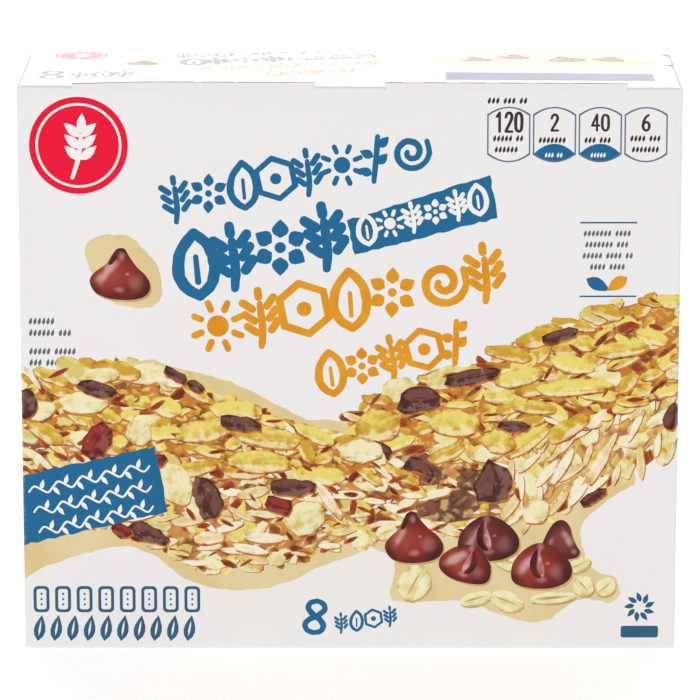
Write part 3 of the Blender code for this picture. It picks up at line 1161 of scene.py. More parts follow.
NUMERALS = {
    "0": (((0.30, 0.0), (0.13, 0.07), (0.05, 0.30), (0.05, 0.70), (0.13, 0.93), (0.30, 1.0)),
          ((0.30, 1.0), (0.47, 0.93), (0.55, 0.70), (0.55, 0.30), (0.47, 0.07), (0.30, 0.0))),
    "1": (((0.14, 0.80), (0.36, 1.0)), ((0.36, 1.0), (0.36, 0.0))),
    "2": (((0.06, 0.76), (0.14, 0.94), (0.32, 1.0), (0.50, 0.92), (0.54, 0.72), (0.40, 0.48),
           (0.20, 0.22), (0.06, 0.02)), ((0.06, 0.0), (0.57, 0.0))),
    "4": (((0.44, 1.0), (0.04, 0.32)), ((0.04, 0.32), (0.60, 0.32)), ((0.44, 1.0), (0.44, 0.0))),
    "6": (((0.48, 0.98), (0.24, 0.82), (0.09, 0.54), (0.05, 0.26), (0.14, 0.06), (0.30, 0.0)),
          ((0.30, 0.0), (0.47, 0.07), (0.56, 0.27), (0.48, 0.47), (0.31, 0.54), (0.10, 0.42))),
    "8": (((0.32, 1.0), (0.13, 0.92), (0.09, 0.74), (0.24, 0.57), (0.45, 0.42), (0.57, 0.24),
           (0.49, 0.06), (0.30, 0.0)),
          ((0.32, 1.0), (0.51, 0.92), (0.55, 0.74), (0.40, 0.57), (0.17, 0.42), (0.04, 0.24),
           (0.12, 0.06), (0.30, 0.0))),
}


def number(ink, text, centre, height, width, slant=0.0, slim=0.74):
    """A plain number, centred on a place."""
    pen = Brushwork(ink, width)
    pitch = 0.82 * slim
    start = -(len(text) * pitch - (0.82 - 0.60) * slim) / 2
    pen.stand(centre - turned(at(0.0, height / 2), slant), height, slant)
    for index, digit in enumerate(text):
        for places in NUMERALS[digit]:
            pen.stroke(*((start + index * pitch + x * slim, y) for x, y in places),
                       steps=1 if len(places) == 2 else 3)
    return pen.fields


# ---------------------------------------------------------------- pictures


CHIP_SHAPE = ((-1.00, -0.10), (-0.84, 0.20), (-0.50, 0.48), (-0.32, 0.80), (-0.16, 1.02),
              (0.08, 1.04), (0.24, 0.80), (0.52, 0.46), (0.86, 0.16), (1.00, -0.20),
              (0.82, -0.52), (0.34, -0.66), (-0.30, -0.66), (-0.80, -0.48))
CHIP_CURL = ((-0.14, 0.98), (-0.30, 0.74), (-0.42, 0.48), (-0.30, 0.50), (-0.16, 0.72))
DOME_SHAPE = ((-1.00, -0.14), (-0.90, 0.30), (-0.58, 0.66), (-0.14, 0.90), (0.34, 0.82),
              (0.76, 0.48), (1.00, 0.04), (0.92, -0.36), (0.52, -0.60), (-0.02, -0.66),
              (-0.56, -0.58), (-0.90, -0.42))
DOME_CREASE = ((-0.12, 0.72), (-0.36, 0.30), (-0.30, -0.14), (-0.02, -0.30), (-0.16, 0.02),
               (-0.14, 0.36))
DOME_LIP = ((-0.04, 0.70), (-0.10, 0.34), (-0.12, 0.04), (0.04, -0.26), (0.10, 0.00), (0.02, 0.36))


def chocolate_chip(foot, size, lean=0.0, squat=1.0, mirror=False, dome=False, ink="chip"):
    """A pictured chocolate chip, drawn up to a curled tip or folded over, with its shadow."""
    side = -1 if mirror else 1

    def laid(shape):
        return smooth([foot + turned(at(x * side, y * squat) * size, lean) for x, y in shape], 3)

    along, across = turned(at(size, 0.0), lean), turned(at(0.0, size * squat), lean)
    body = laid(DOME_SHAPE if dome else CHIP_SHAPE)
    shadow = [point + at(0.3, -0.4) * (size / 6) for point in body]
    fields = [Field(shadow, "tan_shadow"), Field(body, ink, foot, along, across)]
    if not dome:
        return fields + [Field(laid(CHIP_CURL), "chip_fold")]
    return fields + [Field(laid(DOME_CREASE), "chip_fold"), Field(laid(DOME_LIP), "chip_gleam")]


def loose_oat(centre, half_length, turn, roundness=0.74):
    """A pictured rolled oat: a round flake with a furrow."""
    along = turned(at(half_length, 0.0), turn)
    across = turned(at(0.0, half_length * roundness), turn)
    outline = uneven_oval(centre, half_length, half_length * roundness, turn,
                          round(centre.x * 10), 14, 0.05)
    furrow = lens(centre - along * 0.8, centre + along * 0.75, half_length * 0.13, 3)
    drop = at(0.35, -0.5)
    return [Field([point + drop for point in outline], "tan_shadow"),
            Field(outline, "oat", centre, along, across, 0.55), Field(furrow, "tan_shadow")]


def main_flake(centre, length, width, turn, ink):
    """One of the large flakes that lead the picture, over its shadow."""
    along, across = turned(at(length / 2, 0.0), turn), turned(at(0.0, width / 2), turn)
    seed = round(centre.x * 10 + centre.y)
    outline = uneven_oval(centre, length / 2, width / 2, turn, seed)
    drop = at(0.2, -0.5)
    tone = random.Random(seed).uniform(0.35, 0.9)
    return [Field([point + drop for point in outline], "crumb_shadow"),
            Field(outline, ink, centre, along, across, tone)]


def dark_piece(centre, length, width, turn, seed, ink="chunk"):
    """A pictured piece of chocolate or berry in a bar: an uneven block with a paler facet."""
    draw = random.Random(seed)
    along, across = turned(at(length / 2, 0.0), turn), turned(at(0.0, width / 2), turn)
    corners = ((-1.0, -0.5), (-0.9, 0.6), (-0.3, 1.0), (0.6, 0.9), (1.0, 0.3), (0.9, -0.7),
               (0.2, -1.0), (-0.6, -0.9))
    block = [centre + along * (x + draw.uniform(-0.14, 0.14)) + across * (y + draw.uniform(-0.2, 0.2))
             for x, y in corners]
    facet = [block[k].lerp(centre, 0.16) for k in (1, 2, 3, 4)]
    facet += [centre + along * 0.5 + across * 0.05, centre - along * 0.6 - across * 0.05]
    drop = at(0.3, -0.5)
    rough = min(0.3, width * 0.06)
    return [Field([point + drop for point in torn(block, 1.6, rough, seed)], "crumb_shadow"),
            Field(torn(block, 1.6, rough, seed), ink, centre, along, across, 0.2),
            Field(torn(facet, 1.4, rough * 0.7, seed + 1), ink, centre, along, across, 0.8)]


def splash(places, seed, ink="tan"):
    """A wash with a loose edge."""
    return [Field(torn(smooth([at(*place) for place in places], 4), 1.5, 0.24, seed), ink)]


def label(corners, seed):
    """A blue strip with torn edges."""
    return [Field(torn([at(*corner) for corner in corners], 1.5, 0.28, seed), "blue")]


def region(*places):
    """A region of a picture."""
    return [at(*place) for place in places]


def left_bar(seed=20):
    """The pictured bar that comes in from the left."""
    top = region((-84, 68), (-66, 71.5), (-53, 72), (-41, 67), (-34, 64), (-27, 60.8), (-12, 55.8),
                 (0, 52.5), (8, 48.5), (16, 43), (0, 44), (-14, 44.5), (-28, 46), (-38, 45), (-47, 48),
                 (-66, 53), (-84, 58))
    side = region((-84, 58), (-66, 53), (-47, 48), (-38, 45), (-28, 46), (-14, 44.5), (0, 44),
                  (16, 43), (16, 38), (11, 33), (4.5, 29), (-2.5, 27), (-10, 25), (-20, 22.6),
                  (-28, 21.8), (-35, 20.8), (-40, 22.6), (-45, 26), (-53, 29.5), (-62, 32), (-84, 35))
    slope = radians(-14)
    fields = granola_side(side, slope, seed, gaps=4.6) + granola_top(top, slope, seed + 40)
    for centre, length, width, turn, ink in (
            ((-65.0, 62.5), 12, 5.5, -4, "puff"), ((-75.5, 60.5), 7.5, 5, 10, "puff"),
            ((-61.0, 69.3), 10, 4, 8, "puff"), ((-51.5, 55.0), 6, 6.5, 60, "puff"),
            ((-42.5, 42.0), 11.5, 7.5, -70, "puff"), ((-11.0, 33.5), 10, 8.5, 30, "puff"),
            ((-20.0, 54.0), 17, 5.2, -8, "flake"), ((-22.0, 47.8), 15.5, 5.6, -3, "flake"),
            ((-5.5, 38.5), 12.5, 2.6, -55, "sliver"), ((-21.0, 28.5), 10, 2.8, -3, "sliver"),
            ((-24.5, 25.6), 9, 2.4, -12, "sliver"), ((-34.5, 28.5), 8, 3.2, 4, "sliver")):
        fields += main_flake(at(*centre), length, width, radians(turn), ink)
    pieces = (((-79, 62), 8, 5.0, 80), ((-61.5, 66), 10, 3.4, -14), ((-42.5, 69.5), 6, 3.0, -30),
              ((-37.5, 66.8), 5, 2.6, -24), ((-26.5, 57.2), 10.5, 3.8, -8),
              ((-35.0, 38.5), 12, 6.6, -74), ((-14, 41.3), 11, 4.6, 2), ((-50, 29.6), 11, 4.6, -18))
    for index, (centre, length, width, turn) in enumerate(pieces):
        fields += dark_piece(at(*centre), length, width, radians(turn), seed + index)
    for centre, length, width, turn in (((-62, 53), 9, 7, 60), ((-17.5, 36.6), 6.5, 4.2, -20),
                                        ((-47.5, 47.5), 6, 3, 40), ((-56.0, 30.4), 5, 3.2, -30)):
        fields += dark_piece(at(*centre), length, width, radians(turn), seed + 50 + length, "berry")
    return fields


def right_bar(seed=120):
    """The pictured bar that runs up to the right; its near end is rich in chocolate."""
    top = region((0, 53), (0.5, 60), (7, 64), (13.5, 66.5), (21, 68.5), (27, 70), (34.5, 73),
                 (42, 77.5), (49.5, 80.5), (58, 84), (64, 86), (74, 88), (84, 88.5), (84, 66.5),
                 (68, 62), (62, 59), (53, 56), (40, 52), (33, 50.5), (27, 50), (20, 49.5), (12, 52))
    side = region((40, 52), (53, 56), (62, 59), (68, 62), (84, 66.5), (84, 52), (73, 49), (66, 44.6),
                  (57, 40), (50, 35.2), (42, 32.5), (38, 31.5))
    end = region((0, 53), (12, 52), (20, 49.5), (27, 50), (33, 50.5), (40, 52), (38, 30.5), (30, 30),
                 (20, 31.5), (11, 33), (4, 35))
    fields = granola_side(end, radians(-12), seed, gaps=5.0)
    for centre, length, width, turn in (((17, 46), 13, 8, -20), ((24, 36.5), 15, 9, 4),
                                        ((11, 38), 12, 9, 40), ((30, 43), 8, 6, 0)):
        fields.append(Field(uneven_oval(at(*centre), length / 2, width / 2, radians(turn),
                                        length * width, 24, 0.14), "melt"))
    fields += granola_side(side, radians(62), seed + 40, "pale_crumbs", 11.0)
    fields += granola_top(top, radians(12), seed + 80)
    for centre, length, width, turn, ink in (
            ((7.0, 57.0), 11.5, 8, 10, "flake"), ((25.5, 57.5), 12, 6.6, 0, "flake"),
            ((36.5, 52.8), 8.5, 5.6, -10, "flake"), ((54.5, 66.5), 19, 4.2, 4, "flake"),
            ((45.0, 61.5), 11.5, 3.2, -4, "flake"), ((41.0, 69.0), 12, 4.4, 14, "flake"),
            ((66.0, 76.0), 14, 4.2, 8, "flake"), ((20.5, 39.5), 10, 2.2, 14, "sliver"),
            ((10.5, 47.5), 6, 2.6, -8, "sliver"), ((45.5, 35.2), 7, 6, 30, "puff"),
            ((61, 47.5), 12, 2.8, 64, "sliver"), ((52, 46.5), 10, 2.4, 60, "sliver")):
        fields += main_flake(at(*centre), length, width, radians(turn), ink)
    pieces = (((17, 63.2), 11.5, 6.0, 4), ((29.8, 69.2), 13, 3.6, 10), ((51, 79.3), 9, 2.8, 16),
              ((40, 57), 7.5, 2.8, -6), ((35.0, 42.5), 10.5, 8.5, 84), ((6.5, 51.0), 9, 4, -24),
              ((17, 45.8), 8, 5.4, -30), ((11.5, 36.8), 9.5, 6, 24), ((78.5, 59), 7, 4.6, 70),
              ((59.5, 38.8), 7, 2.4, 34))
    for index, (centre, length, width, turn) in enumerate(pieces):
        fields += dark_piece(at(*centre), length, width, radians(turn), seed + index)
    return fields


def food_picture():
    """The front's food picture, which runs on past its left and right creases."""
    fields = splash(((-90, 16), (-74, 21.5), (-59, 26), (-51, 25.4), (-46, 22.5), (-40.5, 18.2),
                     (-34, 15.9), (-27, 15.2), (-19.5, 15.8), (-12.5, 18.4), (-7, 21.2), (2.5, 24.8),
                     (10, 30), (20, 48), (8, 54), (-3, 58.2), (-9, 58.2), (-14, 60.2), (-20, 63.4),
                     (-27.5, 67.2), (-34, 69.4), (-44, 71.8), (-51, 73), (-60, 62), (-90, 60)), 1)
    fields += splash(((4, 29), (10, 24), (11, 20.5), (10, 13.5), (14, 12), (28.5, 12.6), (34.5, 9.8),
                      (43.5, 7.2), (48.5, 7.4), (52.5, 10.2), (56.5, 12.7), (61.5, 12.4),
                      (64, 11.8), (66.5, 14.2), (65, 18.6), (60.5, 19.8), (58, 23.6), (56.6, 29.3),
                      (57.6, 33), (63, 38), (70, 43.5), (60, 50), (20, 44)), 2)
    return fields + right_bar() + left_bar()


def loose_food():
    """Chips and oats strewn in front of the pictured bars."""
    fields = []
    for place, half, turn, roundness in (
            ((9.0, 30.0), 2.8, 20, 0.7), ((15.8, 17.0), 4.8, 62, 0.84), ((31.0, 13.0), 4.2, 16, 0.42),
            ((38.5, 12.4), 4.2, -22, 0.62), ((49.8, 13.2), 5.8, 5, 0.26), ((38.6, 22.6), 3.8, -22, 0.6),
            ((56.2, 21.6), 3.0, 26, 0.6), ((57.4, 16.2), 2.8, -50, 0.9), ((62.8, 16.0), 2.7, 40, 0.85)):
        fields += loose_oat(at(*place), half, radians(turn), roundness)
    for foot, size, lean, squat, mirror, dome, ink in (
            ((33.9, 27.4), 7.6, 4, 0.98, False, True, "dark_chip"),
            ((51.0, 26.6), 6.4, -112, 0.86, True, False, "dark_chip"),
            ((15.7, 27.2), 7.2, 3, 1.06, False, False, "chip"),
            ((28.4, 21.2), 6.6, -18, 0.94, True, True, "chip"),
            ((47.0, 20.4), 7.5, 2, 1.0, False, True, "chip")):
        fields += chocolate_chip(at(*foot), size, radians(lean), squat, mirror, dome, ink)
    return fields


def seal(centre, radius):
    """A round red seal with an oat ear knocked out of it."""
    rings = ((1.0, "red"), (0.87, "white"), (0.82, "red"))
    fields = [Field(oval(centre, radius * share, radius * share, steps=64), ink)
              for share, ink in rings]
    pen = Brushwork("white", radius * 0.13).stand(centre - at(0.0, radius * 0.66), radius * 1.3)
    pen.stroke((-0.10, 0.0), (0.0, 0.32), (0.04, 0.66), weight=0.7)
    for height in (0.28, 0.46, 0.64):
        for side in (-1, 1):
            pen.leaf((0.03, height), (0.03 + 0.25 * side, height + 0.22), weight=1.5)
    pen.leaf((0.04, 0.70), (0.06, 1.02), weight=1.5)
    return fields + pen.fields


def barrel_outline(centre, half, bow=1.9, steps=8):
    """An upright box whose top and bottom bow outwards."""
    shares = [1 - 2 * k / steps for k in range(steps + 1)]
    upper = [at(half.x * t, half.y - bow * t * t) for t in shares]
    return [centre + place for place in upper] + [centre - place for place in upper]


def barrel(centre, half, value, tall, line, cap):
    """A small outlined panel that holds a plain number over rows of small grains."""
    inner = half - at(0.36, 0.36)
    fields = [Field(barrel_outline(centre, half), line),
              Field(barrel_outline(centre, inner), "board")]
    text_low = centre - at(half.x * 0.74, 2.3 if cap else 1.9)
    if cap:
        shares = [1 - 2 * k / 8 for k in range(9)]
        rim = [at(inner.x * t, -inner.y + 1.9 * t * t) for t in shares]
        crown = [at(inner.x * t, -inner.y + 4.2 - 2.3 * t * t) for t in reversed(shares)]
        fields.append(Field([centre + place for place in rim + crown], "blue"))
        fields += small_print("white", centre - at(half.x * 0.45, half.y - 1.1), half.x * 0.95,
                              1.35, int(centre.x))
    else:
        fields += small_print("ink_black", centre - at(half.x * 0.66, 4.6), half.x * 1.36, 1.7,
                              int(centre.x) + 3)
    fields += small_print("ink_black", text_low, half.x * 1.5, 1.7, int(centre.x) + 7)
    lift = at(0.0, 3.0 if tall > 4.5 else 2.9)
    slim = 0.62 if len(value) > 2 else 0.74
    return fields + number("ink_black", value, centre + lift, tall, tall * 0.17, slim=slim)


def small_block(low, size):
    """Two rules with small print and a pair of grains between them."""
    high = low + size
    fields = [Field(rectangle(at(low.x, y), at(high.x, y + 0.4)), "dark_blue")
              for y in (low.y, high.y - 0.4)]
    for line, inset in enumerate((0.8, 1.2, 0.6, 2.4)):
        fields += small_print("grey", at(low.x + inset, high.y - 3.7 - 2.75 * line),
                              size.x - 2 * inset, 1.75, line + 5)
    fields.append(Field(lens(at(low.x + 1.6, low.y + 4.6), at(low.x + 7.4, low.y + 1.6), 3.2), "blue"))
    return fields + [Field(lens(at(low.x + 11.6, low.y + 5.0), at(low.x + 6.6, low.y + 1.6), 3.2),
                           "amber")]


def bar_tally(ink, low, count, size, gap, line=0.75):
    """A row of little upright outlined bars, one for each bar in the pack."""
    fields = []
    for index in range(count):
        foot = low + at(index * (size.x + gap), 0.0)
        frame_inset = at(line, line)
        fields.append(Field(rounded_box(foot, foot + size, size.x * 0.28, 3), ink))
        fields.append(Field(rounded_box(foot + frame_inset, foot + size - frame_inset,
                                        size.x * 0.14, 2), "board"))
        for share in (0.3, 0.5, 0.7):
            fields.append(Field(oval(foot + at(size.x / 2, size.y * share), line * 0.42,
                                     line * 0.42, steps=6), ink))
    return fields


def grain_row(ink, low, count, size, gap):
    """A row of leaning grains, each split by a furrow."""
    fields = []
    for index in range(count):
        foot = low + at(index * (size.x + gap), 0.0)
        base, tip = foot + at(size.x * 0.3, 0.0), foot + at(size.x * 0.7, size.y)
        fields.append(Field(lens(base, tip, size.x), ink))
        fields.append(Field(lens(base.lerp(tip, 0.2), base.lerp(tip, 0.8), size.x * 0.2, 3), "board"))
    return fields


def leaf_ring(centre, ink, radius=3.9):
    """A ring of leaves over a plain strip."""
    middle = centre + at(0.0, 1.4)
    fields = []
    for index in range(9):
        spoke = at(radius, 0.0)
        angle = 2 * pi * index / 9
        fields.append(Field(lens(middle + turned(spoke, angle) * 0.34,
                                 middle + turned(spoke, angle + 0.35), radius * 0.33), ink))
    return fields + [Field(rounded_box(centre + at(-4.6, -6.4), centre + at(4.6, -3.4), 0.5, 2), ink)]


def title():
    """Five slanted rows of motifs in blue, white and amber."""
    fields = garland("blue", 1.85, at(-44, 107), at(20.5, 120.5), 11.0,
                     (ear, bloom, hollow_leaf, comb, ear, sunburst, sprig, swirl))
    fields += garland("blue", 3.1, at(-41.0, 88.2), at(0.5, 97.4), 15.5,
                      (hollow_leaf, ear, bloom, ear))
    fields += label(((1.2, 99.5), (35.6, 108.4), (33.8, 119.0), (-0.7, 107.9)), 7)
    fields += garland("white", 1.3, at(2.4, 101.4), at(34.0, 110.1), 7.2,
                      (hollow_leaf, sunburst, ear, bloom, ear, hollow_leaf))
    fields += garland("amber", 2.45, at(-37, 73.6), at(38.5, 89.0), 14.0,
                      (sunburst, ear, comb, hollow_leaf, bloom, swirl, ear))
    return fields + garland("amber", 2.05, at(-7, 64.0), at(30.5, 73.8), 10.5,
                            (hollow_leaf, bloom, ear, comb, sprig))


def chip_vignette():
    """One chip on a tan splash."""
    fields = splash(((-64, 101), (-60, 104), (-54, 104), (-49.5, 100.5), (-45.8, 95), (-46.2, 88),
                     (-51, 86), (-58, 88), (-62, 94)), 5)
    return fields + chocolate_chip(at(-55.6, 93.2), 7.4, radians(-4))


def handwritten_label():
    """The blue label over the left bar, with three white vines."""
    fields = label(((-84, 25.6), (-44.6, 35.1), (-47.6, 51.5), (-84, 43.2)), 9)
    for row in range(3):
        start = at(-78.5 + row * 1.2, 40.0 - row * 5.1)
        fields += vine("white", 0.55, start, start + at(29.5 - row * 0.8, 6.6), 3.9, 5)
    return fields


def front_print():
    """Everything printed on the front, and on past its side creases."""
    fields = seal(at(-65.3, 126.2), 11.9) + title()
    fields += small_print("ink_black", at(33.0, 136.5), 10.2, 1.8, 2)
    for index, (value, tall, line, cap) in enumerate((
            ("120", 4.7, "soft_grey", False), ("2", 4.0, "soft_grey", True),
            ("40", 4.0, "soft_grey", True), ("6", 4.0, "soft_grey", False))):
        fields += barrel(at(38.2 + index * 11.0, 129.0), at(5.2, 6.9), value, tall, line, cap)
    fields += small_block(at(55.6, 88.9), at(13.8, 18.6))
    fields += chip_vignette()
    for line, (height, length) in enumerate(((81.9, 8.0), (79.0, 11.4), (74.4, 12.0), (71.6, 11.6))):
        fields += small_print("grey", at(-78.0, height), length, 1.9, line + 11)
    fields += food_picture() + handwritten_label() + loose_food()
    fields += bar_tally("dark_blue", at(-77.8, 9.4), 8, at(3.9, 6.7), 1.4)
    fields += grain_row("dark_blue", at(-77.8, 2.0), 10, at(2.9, 6.7), 1.2)
    fields += number("blue", "8", at(-8.6, 8.3), 8.2, 1.5, radians(-6), slim=1.05)
    fields += garland("blue", 0.85, at(-3.4, 4.0), at(12.0, 6.2), 5.0,
                      (ear, hollow_leaf, comb, ear))
    return fields + leaf_ring(at(71.3, 9.4), "dark_blue")


GLARE_PALED_INKS = {"blue": "glare_paled_blue", "amber": "glare_paled_amber", "red": "glare_paled_red"}


def top_print():
    """The top's print: the front's motifs again, smaller, with its blue, amber and red swapped for paler,
    greyer inks that paint in the glare on the top.
    """
    fields = seal(at(-66.8, 18.2), 6.6)
    fields += number("blue", "8", at(-72.6, -9.8), 10.0, 1.6, slim=0.9)
    fields += garland("blue", 1.1, at(-68.0, -14.2), at(-52.0, -13.0), 8.0, (ear, hollow_leaf, ear))
    fields += [field.moved(0.55, 0.0, (-20.5, -45.5)) for field in chip_vignette()]
    fields += [field.moved(0.62, 0.0, (-15.5, -52.8)) for field in title()]
    fields += splash(((22, 6), (34, 3.5), (48, 5.5), (62, 3.5), (74, 7), (73, 14), (64, 22),
                      (50, 24), (36, 22), (24, 16)), 26)
    for foot, size, lean in (((31, 11.5), 4.2, 4), ((40.5, 15.5), 4.4, -8), ((53.5, 12.0), 4.8, 14),
                             ((64, 12.8), 4.2, -16)):
        fields += chocolate_chip(at(*foot), size, radians(lean))
    for place, half, turn in (((25.5, 8.5), 2.4, 30), ((46.5, 7.5), 2.6, 80), ((59, 19), 2.2, 10),
                              ((70, 8.5), 2.4, 130)):
        fields += loose_oat(at(*place), half, radians(turn))
    fields.append(Field(rectangle(at(23.2, -16.5), at(73.8, -6.8)), "dusk_blue"))
    for distance in NOTCH_DISTANCES:
        fields += perforations(at(-INNER_HALF_WIDTH, HALF_DEPTH - distance),
                               at(INNER_HALF_WIDTH - NOTCH_LENGTH, HALF_DEPTH - distance))
    # Painted glare: the blue, amber and red give way to paler, greyer inks, as a strong reflection would
    # wash them out.
    for field in fields:
        field.ink = GLARE_PALED_INKS.get(field.ink, field.ink)
    return fields


def perforations(start, end, dash=2.2, gap=1.6, width=0.16):
    """Grey dashes of painted shade, drawn flat where the short cuts run that a tear strip parts along."""
    run = (end - start).normalized()
    across = Vector((-run.y, run.x)) * width / 2
    fields = []
    for index in range(int((end - start).length / (dash + gap))):
        near = start + run * index * (dash + gap)
        far = near + run * dash
        fields.append(Field([near - across, far - across, far + across, near + across], "cut"))
    return fields


# ---------------------------------------------------------------- the pack's panels


RUN_CUT = 0.08                 # side cuts that free the standing lips
# The lips' dark edge below is painted shade: a printed strip for the slit's shadow.
HINGE_LINE = 0.08              # how far the lips' dark edge shows in front
BLEED = 3.0                    # how far the front's picture runs on past its side creases


def crease_run(index):
    """Ends of a lip's run, with its side cuts."""
    low, high = LIP_RUNS[index]
    return low - RUN_CUT, high + RUN_CUT


def lip_height(x):
    """Height of the lip above the crease: the left one comes up slowly from its outer end."""
    if x > 0:
        return LIP_HEIGHT
    rise = min(1.0, max(0.0, (x - LIP_RUNS[0][0]) / LIP_RISE))
    return LIP_LOW_HEIGHT + (LIP_HEIGHT - LIP_LOW_HEIGHT) * rise * rise * (3 - 2 * rise)


def hinge_shades():
    """A painted shade line along the cut upper edge of each lip, for the shadow in the slit behind it."""
    fields = []
    for low, high in LIP_RUNS:
        inset = 0.05
        edge = [at(low + inset + (high - low - 2 * inset) * k / 12, 0.0) for k in range(13)]
        upper = [at(p.x, HEIGHT + lip_height(p.x) + 0.1) for p in edge]
        lower = [at(p.x, HEIGHT + lip_height(p.x) - HINGE_LINE) for p in reversed(edge)]
        fields.append(Field(upper + lower, "hinge_shade"))
    return fields


def front_sheet():
    """The front panel's sheet: its upper edge has two lips that stand straight up."""
    root = HEIGHT - CREASE_RADIUS
    edge = [at(-HALF_WIDTH, 0.0), at(HALF_WIDTH, 0.0), at(HALF_WIDTH, HEIGHT)]
    for index in (1, 0):
        low, high = LIP_RUNS[index]
        before, after = crease_run(index)
        edge += [at(after, HEIGHT), at(after, root), at(high, root)]
        steps = 12
        for step in range(steps + 1):
            x = high + (low - high) * step / steps
            edge.append(at(x, HEIGHT + lip_height(x)))
        edge += [at(low, root), at(before, root), at(before, HEIGHT)]
    return edge + [at(-HALF_WIDTH, HEIGHT)]


def top_sheet():
    """The top panel's sheet: its front edge is cut back behind the lips."""
    cut = -HALF_DEPTH + BOARD + SLIT_WIDTH
    edge = [at(-INNER_HALF_WIDTH, -HALF_DEPTH)]
    for index in (0, 1):
        before, after = crease_run(index)
        edge += [at(before, -HALF_DEPTH), at(before, cut), at(after, cut), at(after, -HALF_DEPTH)]
    return edge + [at(INNER_HALF_WIDTH, -HALF_DEPTH), at(INNER_HALF_WIDTH, HALF_DEPTH),
                   at(-INNER_HALF_WIDTH, HALF_DEPTH)]


def notch_outline(middle, edge, depth):
    """A V cut that points away from a sheet's edge."""
    half = NOTCH_WIDTH / 2
    return [at(edge + 2.0, middle - half), at(edge + 2.0, middle + half), at(edge, middle + half),
            at(edge - depth, middle), at(edge, middle - half)]


def back_print():
    """The back: the motifs and the food again, with ruled blocks of small print."""
    fields = [field.moved(0.6, 0.0, (-28.0, 58.5)) for field in title()]
    fields += seal(at(64.0, 122.0), 8.5)
    fields.append(Field(rectangle(at(-72, 12), at(-24, 92)), "ink_black"))
    fields.append(Field(rectangle(at(-71.4, 12.6), at(-24.6, 91.4)), "board"))
    heights = [84.0, 79.0] + [73.5 - 5.2 * row for row in range(12)]
    for row, height in enumerate(heights):
        heavy = row in (0, 2, 9)
        fields.append(Field(rectangle(at(-69.5, height - 1.5), at(-26.5, height - (0.3 if heavy else 1.2))),
                            "ink_black"))
        fields += small_print("ink_black", at(-69.0, height), 24 - row % 4 * 3, 2.1, row + 50)
        fields += small_print("ink_black", at(-34.0, height), 7.0, 2.1, row + 80)
    for block, (left, high, lines) in enumerate(((-16, 92, 7), (34, 92, 7), (-16, 72, 3))):
        fields += small_print("grey", at(left, high), 40, 1.8, block + 100, lines=lines, pitch=1.5)
    food = splash(((-18, 30), (0, 18), (30, 12), (60, 16), (76, 30), (70, 50), (50, 60), (20, 62),
                   (-6, 50)), 60)
    bar_top = region((-14, 44), (10, 54), (40, 60), (68, 58), (72, 50), (48, 46), (20, 38), (-8, 32))
    bar_side = region((-8, 32), (20, 38), (48, 46), (72, 50), (70, 34), (48, 26), (20, 18), (-2, 18))
    food += granola_side(bar_side, radians(14), 300) + granola_top(bar_top, radians(12), 340)
    for index, (centre, length, width, turn) in enumerate((((4, 46), 10, 4.4, 20), ((34, 55), 11, 4, 6),
                                                           ((26, 31), 10, 7, 70), ((58, 41), 9, 6, 30))):
        food += dark_piece(at(*centre), length, width, radians(turn), 380 + index)
    food += chocolate_chip(at(60, 17), 6.4, 0.1) + chocolate_chip(at(49, 13), 6.0, -0.2, mirror=True)
    food += loose_oat(at(38, 12), 4.0, 0.4) + loose_oat(at(69, 12), 3.4, 1.4)
    fields += food
    fields += bar_tally("dark_blue", at(-72, 2.5), 8, at(3.0, 6.2), 1.3)
    return fields + leaf_ring(at(69.5, 72.0), "dark_blue", 3.4)


def end_print():
    """An end: a seal, the title's rows running upwards, a chip and the count of bars."""
    fields = seal(at(25.5, 124.0), 8.0)
    fields += [field.moved(0.6, pi / 2, (85.0, 74.0)) for field in title()]
    fields += [field.moved(0.86, 0.0, (72.6, -57.0)) for field in chip_vignette()]
    fields += number("blue", "8", at(12.5, 11.0), 9.0, 1.7, slim=0.9)
    return fields + garland("blue", 1.0, at(18.5, 7.4), at(41.0, 8.6), 6.4,
                            (ear, hollow_leaf, comb, ear))


def bottom_print():
    """The bottom: the title, small print and a block of stripes."""
    fields = [field.moved(0.56, 0.0, (-44.0, -54.5)) for field in title()]
    draw = random.Random(90)
    fields.append(Field(rectangle(at(38, -18), at(74, 6)), "board"))
    u = 40.0
    while u < 71.5:
        stripe = draw.choice((0.4, 0.8, 1.2))
        fields.append(Field(rectangle(at(u, -15), at(u + stripe, 3)), "ink_black"))
        u += stripe + draw.choice((0.4, 0.8, 1.2))
    fields += small_print("grey", at(-8, 14), 40, 1.8, 91, lines=9, pitch=1.7)
    return fields + bar_tally("dark_blue", at(40, 11), 8, at(2.8, 6.2), 1.3)


def ring_opening(low, high, inset):
    """The hidden middle of a flap, which is left out."""
    return rectangle(low + at(inset, inset), high - at(inset, inset))


